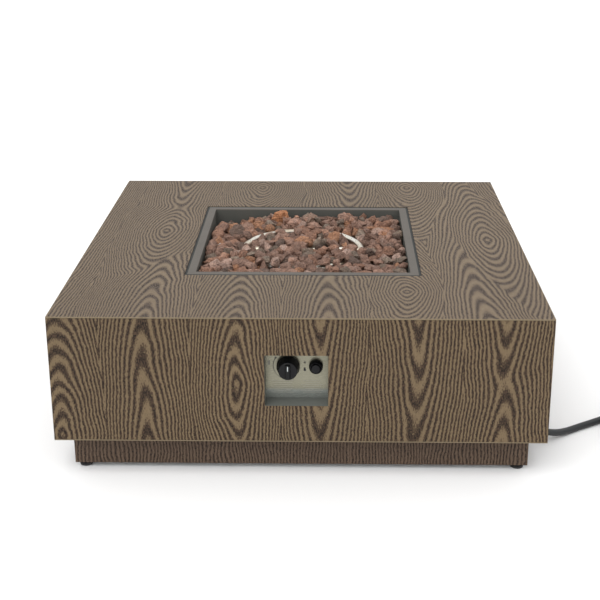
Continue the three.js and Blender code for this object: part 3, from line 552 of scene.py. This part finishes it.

# %% [markdown]
# ## Fire pan
# The pan is pressed from steel with a flat flange round its mouth, and it is painted with a
# dull heat-proof grey. Heat and ash leave it cloudy, so the paint gets slow clouds and fine
# grit, and its walls below the flange are a darker, greener grey. A thin black strip round
# the flange's edge is painted shade for the shadow gap there.

# %% Pan
pan_paint, start, place = new_paint("pan_paint")
cloud, grit = place.noise(14, 4), place.noise(700, 3)
height = place.node("SeparateXYZ", None, {0: place}, "Z")
# Below the flange the walls are painted a darker, greener grey than the flange.
flange_share = (height + (cloud - 0.5) * 0.004).clear_step(0.3450, 0.3485)
flange_grey = (cloud * 0.5 + grit * 0.5).between(colour(77, 74, 69), colour(100, 94, 88))
wall_grey = (cloud * 0.6 + grit * 0.4).between(colour(66, 70, 66), colour(90, 88, 83))
surface(start, flange_share.node("Mix", {"data_type": "RGBA"}, {0: flange_share, 6: wall_grey, 7: flange_grey}, 2),
        0.58 + 0.2 * grit, height=grit, depth=0.00025, shine=0.35)
softened("fire_pan", "grey_pan", pan_paint, .0005)

# %% Painted shadow gap round the flange
# A black strip along the flange's outer edge is painted shade: it stands for the dark shadow gap
# between the flange and the top panel.
GAP_SHADE_IN, GAP_SHADE_OUT, GAP_SHADE_TALL, GAP_SHADE_SLANT = .0034, .0001, .0004, .0003
gap_shade_black = fine_paint("gap_shade_black", 300, 3, colour(26, 30, 28), colour(46, 48, 45), 0.8,
                        depth=0.0002)
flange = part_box("fire_pan")[1]
gap_shade = bmesh.new()
inner, outer = flange.x - GAP_SHADE_IN, flange.x - GAP_SHADE_OUT
rows = [[gap_shade.verts.new((sx * reach, sy * reach, flange.z + rise))
         for sx, sy in ((-1, -1), (1, -1), (1, 1), (-1, 1))]
        for reach, rise in ((inner, 0), (inner + GAP_SHADE_SLANT, GAP_SHADE_TALL),
                            (outer - GAP_SHADE_SLANT, GAP_SHADE_TALL), (outer, 0))]
for row, next_row in zip(rows, rows[1:] + rows[:1]):
    for number in range(4):
        after = (number + 1) % 4
        gap_shade.faces.new((row[number], row[after], next_row[after], next_row[number]))
bmesh.ops.recalc_face_normals(gap_shade, faces=gap_shade.faces)
piece("flange_gap_shade", gap_shade, gap_shade_black)
print("seal from", round(inner, 4), "to", round(outer, 4))

# %% [markdown]
# ## Burner
# The burner is a drawn stainless tube bent into a ring, with a cross tube and a hub that carry
# the gas. A ring is a circle spun about the middle. Gas ports are drilled along its top, and
# flame heat leaves straw and blue tints on the steel.

# %% Burner
BURNER = (-.007, -.005, .322)
RING_RADIUS, TUBE_RADIUS, CROSS_RADIUS = .138, .008, .0072
burner_steel, start, place = new_paint("burner_steel")
heat = place.noise(11, 3)
tints = heat.node("ValToRGB", {"stops": [
    (0.30, colour(226, 226, 222)), (0.46, colour(216, 212, 200)),
    (0.62, colour(200, 188, 168)), (0.74, colour(176, 180, 188))]}, {"Fac": heat})
drawn = place.noise(260, 3)
surface(start, tints, 0.20 + 0.22 * drawn, 1.0, height=drawn, depth=0.00012)

ring = bmesh.new()
bmesh.ops.create_circle(ring, segments=20, radius=TUBE_RADIUS)
bmesh.ops.rotate(ring, cent=(0, 0, 0), matrix=Matrix.Rotation(math.pi / 2, 3, "X"),
                 verts=ring.verts)
bmesh.ops.translate(ring, vec=(RING_RADIUS, 0, 0), verts=ring.verts)
bmesh.ops.spin(ring, geom=list(ring.verts) + list(ring.edges), cent=(0, 0, 0), axis=(0, 0, 1),
               angle=2 * math.pi, steps=120, use_merge=True)
bmesh.ops.recalc_face_normals(ring, faces=ring.faces)
cross = bmesh.ops.create_cone(ring, cap_ends=True, segments=20, radius1=CROSS_RADIUS,
                              radius2=CROSS_RADIUS, depth=2 * RING_RADIUS)["verts"]
bmesh.ops.rotate(ring, cent=(0, 0, 0), matrix=Matrix.Rotation(math.pi / 2, 3, "Y"), verts=cross)
stem_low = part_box("burner_ring")[0].z
hub = turned([(0, stem_low - BURNER[2]), (.0105, stem_low - BURNER[2]), (.0105, -.012),
              (.0145, -.011), (.0145, .007), (.012, .0085), (0, .0085)], 32)
hub_mesh = bpy.data.meshes.new("hub")
hub.to_mesh(hub_mesh)
hub.free()
ring.from_mesh(hub_mesh)
smooth_turned(ring)
bmesh.ops.translate(ring, vec=BURNER, verts=ring.verts)
piece("burner_tube", ring, burner_steel, stands_for=("burner_ring",))

# %% Gas ports
PORT_COUNT, PORT_LEAN = 72, 28
# The ports are small dark discs on the tube, not holes: their dark is painted shade for the inside
# of each drilled hole.
port_hole_shade = fine_paint("port_hole_shade", 900, 2, colour(18, 17, 16), colour(44, 40, 36), 0.8)
ports = bmesh.new()
for number in range(PORT_COUNT):
    angle = 2 * math.pi * number / PORT_COUNT
    lean = math.radians(PORT_LEAN if number % 2 else -PORT_LEAN)
    outward = Vector((math.cos(angle), math.sin(angle), 0))
    normal = outward * math.sin(lean) + Vector((0, 0, math.cos(lean)))
    spot = Vector(BURNER) + outward * RING_RADIUS + normal * (TUBE_RADIUS - .0003)
    made = bmesh.ops.create_cone(ports, cap_ends=True, segments=8, radius1=.0011,
                                 radius2=.0010, depth=.0009)["verts"]
    turn = normal.to_track_quat("Z", "Y").to_matrix().to_4x4()
    bmesh.ops.transform(ports, matrix=Matrix.Translation(spot) @ turn, verts=made)
piece("gas_ports", ports, port_hole_shade)
print("ports", PORT_COUNT)

# %% [markdown]
# ## Lava rock
# Lava rock is broken volcanic foam: chunky stones of 20 to 38 mm, each chipped flat in places,
# in browns, rust reds and greys. They are dropped one by one: each new stone tries a few spots
# and comes to rest in the lowest. Stones that would hide the parts of the ring that lie bare
# are left out, and small stones cover its front.

# %% Resting places
BED, PAN_HALF = .297, .233  # the height the stones start from, and half the pan's width
NEST = .80  # how close two stones lie, as a share of their radii together
MOST_STONES, DROPS, SPOTS = 1050, 2600, 14
HEAP_TOP = .346
COVER_TOP = .3485  # for the small stones on the ring
LOW_TOP, SIDE_TOP = .324, .333  # for stones on the bare parts of the ring, and beside them
BESIDE = .055  # how far from the ring that goes
ON_RING, ON_CROSS = .016, .013  # how near the tubes only small stones may lie
# The heap dips towards these corners: x, y, depth and reach.
DIPS = [(-PAN_HALF, PAN_HALF, .034, .13), (PAN_HALF, PAN_HALF, .014, .09),
        (PAN_HALF, -PAN_HALF, .012, .08)]
dice = random.Random(21)
stones = []
where = np.zeros((MOST_STONES + 50, 4))


def bare(angle):
    """Whether the ring is left uncovered at an angle in degrees."""
    return 97 < angle < 186 or -16 < angle < 61


def rest(x, y, radius):
    """The height at which a stone comes to rest at x, y."""
    height = BED + radius * .5
    count = len(stones)
    if count:
        near = where[:count]
        gap = (near[:, 3] + radius) * NEST
        apart = np.hypot(near[:, 0] - x, near[:, 1] - y)
        touch = apart < gap
        if touch.any():
            height = max(height, float((near[touch, 2] + np.sqrt(
                gap[touch] ** 2 - apart[touch] ** 2)).max()))
    off = abs(math.hypot(x - BURNER[0], y - BURNER[1]) - RING_RADIUS)
    if abs(x - BURNER[0]) < RING_RADIUS:
        off = min(off, abs(y - BURNER[1]))
    gap = radius * .82 + TUBE_RADIUS
    if off < gap and height > BURNER[2] - gap * .6:
        height = max(height, BURNER[2] + math.sqrt(gap * gap - off * off) * .9)
    return height


def fits(x, y, height, radius):
    """Whether a stone may stay: under its limit, and clear of the bare ring."""
    far = math.hypot(x - BURNER[0], y - BURNER[1])
    off = far - RING_RADIUS
    angle = math.degrees(math.atan2(y - BURNER[1], x - BURNER[0]))
    angle = angle if angle > -90 else angle + 360
    top = height + radius * .85
    lump = .004 * noise.noise(Vector((x * 22, y * 22, 3)))
    if bare(angle) and abs(off) < BESIDE:
        if abs(off) < TUBE_RADIUS + radius * .80:
            return top < LOW_TOP
        return top < SIDE_TOP + (.007 if off > 0 else .004)
    if abs(off) < ON_RING:
        return radius < .0130 and top < COVER_TOP
    if abs(y - BURNER[1]) < ON_CROSS and far < RING_RADIUS:
        return radius < .0120 and top < COVER_TOP
    slope = sum(depth * max(0, 1 - math.hypot(x - dip_x, y - dip_y) / reach)
                for dip_x, dip_y, depth, reach in DIPS)
    slope += .004 * max(0, 1 - (PAN_HALF - y) / .03)
    return top < HEAP_TOP + lump - slope


def keep(place):
    """Notes a stone's x, y, height and radius."""
    where[len(stones)] = place
    stones.append(place)


def settle(x, y, radius):
    """Adds a stone where it comes to rest."""
    keep((x, y, rest(x, y, radius), radius))


# %% Dropping the stones
# Small stones cover the cross tube and the front half of the ring before the rest are dropped.
# Each row is a zigzag, a few millimetres to either side of its tube.
CROSS_ROW, CROSS_FROM, CROSS_STEP = 17, -.122, .01525
RING_ROW, RING_FROM, RING_STEP = 25, -169, 6.1  # angles in degrees
for number in range(CROSS_ROW):
    settle(BURNER[0] + CROSS_FROM + CROSS_STEP * number,
           BURNER[1] + (-.0045, .0035)[number % 2], dice.uniform(.0092, .0106))
for number in range(RING_ROW):
    angle = math.radians(RING_FROM + RING_STEP * number)
    far = RING_RADIUS + (-.0045, .0040)[number % 2]
    settle(BURNER[0] + far * math.cos(angle), BURNER[1] + far * math.sin(angle),
           dice.uniform(.0092, .0108))
for _ in range(DROPS):
    radius = dice.triangular(.0095, .0190, .0135)
    edge = PAN_HALF - radius * .92
    best = None
    for _ in range(SPOTS):
        x, y = dice.uniform(-edge, edge), dice.uniform(-edge, edge)
        height = rest(x, y, radius)
        if fits(x, y, height, radius) and (best is None or height < best[2]):
            best = (x, y, height, radius)
    if best and len(stones) < MOST_STONES:
        keep(best)
print("stones", len(stones), "highest", round(max(s[2] + s[3] for s in stones), 4))

# %% Stones
CHIPS = 9
STONE_COLOURS = [
    (colour(166, 134, 118), 34), (colour(172, 134, 114), 22), (colour(154, 126, 112), 28),
    (colour(180, 136, 108), 7), (colour(150, 134, 120), 12), (colour(188, 160, 146), 10),
    (colour(122, 104, 94), 7),
]


def stone(shape, tint, seed, spot, radius, paint, fine=2):
    """Adds one chipped stone to the shape."""
    made = bmesh.ops.create_icosphere(shape, subdivisions=fine, radius=1)["verts"]
    drift = Vector((seed * 7.3, seed * 3.1, seed * 5.7))
    chips = [(Vector((dice.gauss(0, 1), dice.gauss(0, 1), dice.gauss(0, 1))).normalized(),
              dice.uniform(.50, .84)) for _ in range(CHIPS)]
    for vert in made:
        out = vert.co.copy()
        vert.co *= 1.06 + .34 * noise.noise(out * 1.4 + drift)
        for normal, depth in chips:
            over = vert.co.dot(normal) - depth
            if over > 0:
                vert.co -= normal * over
        vert.co *= 1 + .34 * noise.noise(out * 3.4 + drift) + .16 * noise.noise(out * 8 + drift)
        vert[tint] = paint
    stretch = Matrix.Diagonal((dice.uniform(.95, 1.35), dice.uniform(.85, 1.10),
                               dice.uniform(.75, 1.0), 1))
    turn = Matrix.Rotation(dice.uniform(0, 2 * math.pi), 4,
                           Vector((dice.gauss(0, .5), dice.gauss(0, .5), 1)))
    bmesh.ops.transform(shape, matrix=Matrix.Translation(spot) @ turn @ stretch
                        @ Matrix.Scale(radius * 1.18, 4), verts=made)


heap = bmesh.new()
tint = heap.verts.layers.float_color.new("tint")
weights = [share for _, share in STONE_COLOURS]
for number, (x, y, height, radius) in enumerate(stones):
    base = dice.choices(STONE_COLOURS, weights)[0][0]
    shade = dice.uniform(.74, 1.22)
    paint = (base[0] * shade, base[1] * shade, base[2] * shade, 1)
    stone(heap, tint, number, (x, y, height), radius, paint)
SPECIAL_STONES = [
    ((-.075, .196, .3340), .0175, colour(200, 142, 104)),
    ((-.028, .158, .3330), .0200, colour(198, 160, 142)),
    ((.004, .186, .3345), .0185, colour(164, 138, 122)),
    ((-.203, -.003, .3290), .0060, colour(236, 230, 224)),
]
for number, (spot, radius, base) in enumerate(SPECIAL_STONES):
    stone(heap, tint, 5000 + number, spot, radius, base, 3)
smooth_turned(heap, 46)
print("stone faces", len(heap.faces))

# %% Rock material
lava, start, place = new_paint("lava")
own = place.node("Attribute", {"attribute_name": "tint"}, None, "Color")
pits = place.node("TexVoronoi", None, {"Vector": place, "Scale": 420}, "Distance")
froth, lumps, clumps = place.noise(330, 4, 0.7), place.noise(90, 3), place.noise(190, 3, 0.65)
open_pit = pits.clear_step(0.10, 0.42)
hollow = clumps.clear_step(0.34, 0.62)
# The colour darkens in the pits and hollows, the low places of the bump: partly the rock's own
# darker pores, partly painted shade.
shade = (0.36 + 0.80 * open_pit * (0.50 + 1.1 * froth)) * (0.56 + 0.66 * hollow)
warm = lumps.between((1.10, 0.96, 0.86, 1), (0.90, 0.98, 1.06, 1))
tinted = own.node("Mix", {"data_type": "RGBA", "blend_type": "MULTIPLY"},
                  {0: 1.0, 6: own, 7: warm}, 2)
rock_colour = shade.node("Mix", {"data_type": "RGBA"},
                         {0: shade, 6: colour(34, 26, 23), 7: tinted}, 2)
surface(start, rock_colour, 0.92, height=open_pit * 0.4 + froth * 0.8 + hollow * 1.2,
        depth=0.0030, shine=0.2)
piece("rock_heap", heap, lava, stands_for=("lava_rock",))
print("lava nodes", len(lava.node_tree.nodes))

# %% Bed under the stones
# A dark, bumpy sheet fills the gaps between the stones: its darker brown is painted shade,
# standing for the shaded stones below.
bed = bmesh.new()
half = PAN_HALF - .001
bmesh.ops.create_grid(bed, x_segments=36, y_segments=36, size=half)
bed_shade_tint = bed.verts.layers.float_color.new("tint")
for vert in bed.verts:
    lump = noise.noise(vert.co * 60)
    vert.co.z = BED - .004 + .006 * lump
    vert[bed_shade_tint] = colour(92, 66, 54)
for face in bed.faces:
    face.smooth = True
piece("rock_bed", bed, lava)
print("bed half", round(half, 4))

# %% [markdown]
# ## Igniter rod
# Beside the ring stand a spark rod in its glazed ceramic sleeve and the flame sensor. The rod's
# measured shape is right, so it gets a bevel and its glaze.

# %% Ceramic
ceramic = fine_paint("ceramic", 420, 3, colour(222, 216, 204), colour(240, 237, 230), 0.14,
                     vary=0.1, depth=0.00004, coat=0.5)
softened("electrode", "spark_rod", ceramic, .0002, 1)

# %% [markdown]
# ## Control recess
# A grey box behind the window in the casing keeps the knob out of the rain, and a polished
# plate closes it. Polished steel shows soft reflections of the floor and the box, so it needs
# low roughness and little colour of its own, with fine brushing across. A paler band along its
# foot is a painted reflection of the bright sill.

# %% Recess and plate
polished, start, place = new_paint("polished_plate")
brush = place.stretched((60, 900, 2600)).noise(1, 2)
film = place.noise(22, 3)
steel_tone = (brush * 0.35 + film * 0.65).between(colour(132, 129, 112), colour(152, 149, 130))
height = place.node("SeparateXYZ", None, {0: place}, "Z")
# Painted reflection: the plate's foot is paler, as if it mirrored the bright sill below it.
painted_foot_reflection = 1 - height.clear_step(.1745, .1830)  # the heights between which the band fades
steel_tone = painted_foot_reflection.node("Mix", {"data_type": "RGBA"},
                            {0: painted_foot_reflection, 6: steel_tone, 7: colour(158, 162, 156)}, 2)
surface(start, steel_tone, 0.20 + 0.12 * brush, 0.62, height=brush, depth=0.00005)
recess_paint, start, place = new_paint("recess_paint")
grit = place.noise(700, 3)
haze = place.noise(20, 3)
recess_tone = (haze * 0.5 + grit * 0.5).between(colour(84, 87, 82), colour(104, 106, 101))
surface(start, recess_tone, 0.5 + 0.2 * grit, height=grit, depth=0.0002, shine=0.35)
softened("control_box", "recess_box", recess_paint, .0003)
softened("control_plate", "recess_plate", polished, .0003)
PLATE_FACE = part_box("control_plate")[0].y
print("plate face", round(PLATE_FACE, 4))

# %% [markdown]
# The marks on the plate are ink: an arc with a dot at its high end for the flame's size, a
# small flame, a spark, and plain guide lines. They are thin shapes a tenth of a millimetre
# proud, cut from discs and strips.

# %% Marks
ink = fine_paint("ink", 1500, 2, colour(26, 26, 26), colour(62, 62, 60), 0.55)
pale_ink = fine_paint("pale_ink", 1500, 2, colour(128, 126, 116), colour(158, 155, 143), 0.55)
KNOB_AXIS = Vector((-.025, 0, .231))
IGNITER_AXIS = Vector((.031, 0, .231))
INK = .0001


def strip(shape, x, z, width, tall, turn=0.0):
    """A flat bar of ink on the plate, centred at x, z."""
    made = bmesh.ops.create_cube(shape, size=1)["verts"]
    bmesh.ops.scale(shape, vec=(width, INK, tall), verts=made)
    bmesh.ops.rotate(shape, cent=(0, 0, 0), matrix=Matrix.Rotation(turn, 3, "Y"), verts=made)
    bmesh.ops.translate(shape, vec=(x, PLATE_FACE - INK / 2, z), verts=made)


def dot(shape, x, z, radius):
    """A round spot of ink on the plate, centred at x, z."""
    made = bmesh.ops.create_cone(shape, cap_ends=True, segments=16, radius1=radius,
                                 radius2=radius, depth=INK)["verts"]
    bmesh.ops.rotate(shape, cent=(0, 0, 0), matrix=Matrix.Rotation(math.pi / 2, 3, "X"),
                     verts=made)
    bmesh.ops.translate(shape, vec=(x, PLATE_FACE - INK / 2, z), verts=made)


# %% The arc, the flame and the spark
ARC_RADIUS, ARC_STEPS = .0305, 26
ARC_START, ARC_SWEEP, ARC_DOT = 150, 105, 146  # angles in degrees
FLAME = (.0085, .2215)
SPARK = (.0085, .2380)
marks = bmesh.new()
for number in range(ARC_STEPS):
    angle = math.radians(ARC_START + ARC_SWEEP * (number + .5) / ARC_STEPS)
    width = .0006 + .0010 * (1 - number / ARC_STEPS)
    strip(marks, KNOB_AXIS.x + ARC_RADIUS * math.cos(angle),
          KNOB_AXIS.z + ARC_RADIUS * math.sin(angle), width,
          ARC_RADIUS * math.radians(ARC_SWEEP) / ARC_STEPS * 1.1, -angle)
dot(marks, KNOB_AXIS.x + ARC_RADIUS * math.cos(math.radians(ARC_DOT)),
    KNOB_AXIS.z + ARC_RADIUS * math.sin(math.radians(ARC_DOT)), .0021)
for aside, up, size in ((0, 0, .0028), (-.0004, .0028, .0019), (.0002, .0050, .0011)):
    dot(marks, FLAME[0] + aside, FLAME[1] + up, size)
for turn in (0.5, 1.25, 2.0, 2.75):
    strip(marks, *SPARK, .0062, .0007, turn)
piece("plate_marks", marks, ink)
print("arc from", ARC_START, "to", ARC_START + ARC_SWEEP)

# %% Guide lines
GUIDE_ROWS, GUIDE_TOP, GUIDE_GAP = 7, .1975, .0043
guides = bmesh.new()
strip(guides, -.0640, .237, .0045, .010)
for row in range(GUIDE_ROWS):
    z = GUIDE_TOP - row * GUIDE_GAP
    strip(guides, -.0370, z, .046 - .006 * (row % 3), .0009)
    strip(guides, .0230, z, .044 - .007 * ((row + 1) % 3), .0009)
piece("plate_guides", guides, pale_ink)
print("marks on the plate at", round(PLATE_FACE, 4))

# %% [markdown]
# ## Knob and igniter
# The knob is moulded in black: a coned skirt with a grip bar across its face. The skirt is a
# spun profile with a hollow back that clears the valve's nut as the knob goes in, and the bar
# a bevelled block. The igniter is a cap that unscrews for its battery, with a domed button
# in it.

# %% Knob
KNOB_BACK, KNOB_FACE, GRIP_FACE = -.4646, -.4906, -.4983
GRIP_HALF_WIDE, GRIP_HALF_LONG = .0058, .0155
GRIP_NARROWS, GRIP_SHORTENS = .74, .96
HOLLOW, HOLLOW_DEEP = .0125, .0060
knob_plastic = fine_paint("knob_plastic", 500, 3, colour(9, 9, 10), colour(18, 18, 20), 0.30,
                          vary=0.14, depth=0.00008, shine=0.22)
deep = KNOB_BACK - KNOB_FACE
skirt = turned([(0, .0140), (.0031, .0140), (.0031, HOLLOW_DEEP), (HOLLOW, HOLLOW_DEEP),
                (HOLLOW, 0), (.0222, 0), (.0232, .0004), (.0235, .0012), (.0235, .0040),
                (.0231, .0048), (.0224, .0052), (.0190, deep - .0018), (.0184, deep - .0006),
                (.0172, deep), (0, deep)], 64)
put(skirt, (KNOB_AXIS.x, KNOB_BACK, KNOB_AXIS.z), (0, -1, 0))
piece("knob_skirt", skirt, knob_plastic, "knob", ("control_knob",))
grip = block((KNOB_AXIS.x - GRIP_HALF_WIDE, GRIP_FACE, KNOB_AXIS.z - GRIP_HALF_LONG),
             (KNOB_AXIS.x + GRIP_HALF_WIDE, KNOB_FACE + .003, KNOB_AXIS.z + GRIP_HALF_LONG))
for vert in grip.verts:
    if vert.co.y < KNOB_FACE:
        vert.co.x = KNOB_AXIS.x + (vert.co.x - KNOB_AXIS.x) * GRIP_NARROWS
        vert.co.z = KNOB_AXIS.z + (vert.co.z - KNOB_AXIS.z) * GRIP_SHORTENS
round_off(grip, list(grip.edges), .0013, 3)
smooth_turned(grip)
piece("knob_grip", grip, knob_plastic, "knob")
pointer_white = fine_paint("pointer_white", 900, 3, colour(164, 170, 170),
                           colour(196, 201, 200), 0.5)
finish_node(pointer_white, "knob_pointer")
print("knob deep", round(deep, 4))

# %% Igniter
CAP_BACK, CAP_FRONT = -.4603, -.4746
low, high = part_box("igniter_cap")
wide = (high.x - low.x) / 2
tall = CAP_BACK - CAP_FRONT
cap = turned([(.0108, 0), (wide - .0006, 0), (wide, .0006), (wide, tall * .55),
              (wide - .0006, tall * .62), (wide - .0012, tall * .92), (wide - .0022, tall),
              (.0108, tall), (.0104, tall - .0006), (.0102, 0), (.0108, 0)], 48)
put(cap, (IGNITER_AXIS.x, CAP_BACK, IGNITER_AXIS.z), (0, -1, 0))
piece("igniter_collar", cap, knob_plastic, "igniter_cap", ("igniter_cap",))
head = -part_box("igniter_button")[0].y + CAP_BACK
button = turned([(0, .0002), (.0096, .0002), (.0098, .0010), (.0098, head - .0022),
                 (.0090, head - .0009), (.0070, head - .0003), (0, head)], 40)
put(button, (IGNITER_AXIS.x, CAP_BACK, IGNITER_AXIS.z), (0, -1, 0))
piece("igniter_push_button", button, knob_plastic, "igniter_button",
      ("igniter_button",))
finish_node(knob_plastic, "igniter_barrel")
print("button stands", round(head, 4), "of the plate")

# %% [markdown]
# ## Hose fittings
# The hose passes the plinth in a rubber grommet. At its far end are a crimped ferrule, the
# regulator, and the hand nut that screws to the bottle.

# %% Grommet and fittings
low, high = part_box("hose_grommet")
lip = (high.y - low.y) / 2
deep = high.x - low.x
grommet = turned([(HOSE_RADIUS + .0002, 0), (lip - .001, 0), (lip, .001), (lip, deep * .45),
                  (lip - .0012, deep * .62), (HOSE_RADIUS + .0022, deep),
                  (HOSE_RADIUS + .0002, deep), (HOSE_RADIUS + .0002, 0)], 40)
put(grommet, (low.x, (low.y + high.y) / 2, (low.z + high.z) / 2), (1, 0, 0))
piece("rubber_grommet", grommet, hose_rubber, stands_for=("hose_grommet",))
regulator_zinc = metal("regulator_zinc", colour(140, 143, 146), colour(178, 181, 183), 0.42, 240)
nut_plastic = fine_paint("nut_plastic", 380, 4, colour(20, 20, 21), colour(40, 40, 42), 0.48,
                         vary=0.2, depth=0.0002)
ferrule = softened("hose_ferrule", "crimped_ferrule", galvanised, .0006,
                   smooth=True)
drum = softened("regulator", "regulator_body", regulator_zinc, .0012, 3, smooth=True)
inlet = softened("bottle_connector", "bottle_nipple", brass, .0004, smooth=True)
nut = softened("bottle_nut", "hand_nut", nut_plastic, .0010, 2, "bottle_nut", True)
print("cord declared", round(length, 2))

# %% [markdown]
# ## Floor and light
# A pale seamless floor, a white surround that lights everything softly, and one broad sun
# from the front left, above, so that top and front differ a little. The standard view
# transform keeps the white floor white.

# %% Studio
floor_white, start, place = new_paint("floor_white")
sweep = place.noise(0.6, 1)
surface(start, sweep.between((.90, .90, .90, 1), (.925, .925, .925, 1)), 0.75, shine=0.2)
floor = bmesh.new()
bmesh.ops.create_circle(floor, cap_ends=True, segments=64, radius=30)
mesh = bpy.data.meshes.new("floor")
floor.to_mesh(mesh)
floor.free()
floor = bpy.data.objects.new("floor", mesh)
bpy.context.scene.collection.objects.link(floor)
mesh.materials.append(floor_white)
world = bpy.data.worlds.new("surround")
world.use_nodes = True
glow = world.node_tree.nodes["Background"].inputs
glow["Color"].default_value = (1, 1, 1, 1)
glow["Strength"].default_value = 1.10
bpy.context.scene.world = world
sun = bpy.data.objects.new("sun", bpy.data.lights.new("sun", "SUN"))
sun.data.energy = 1.35
sun.data.angle = math.radians(50)
sun.rotation_euler = Vector((-.5, -.9, 1.5)).to_track_quat("Z", "Y").to_euler()
bpy.context.scene.collection.objects.link(sun)
bpy.context.scene.view_settings.view_transform = "Standard"
print("sun", sun.data.energy, "surround", round(glow["Strength"].default_value, 2))
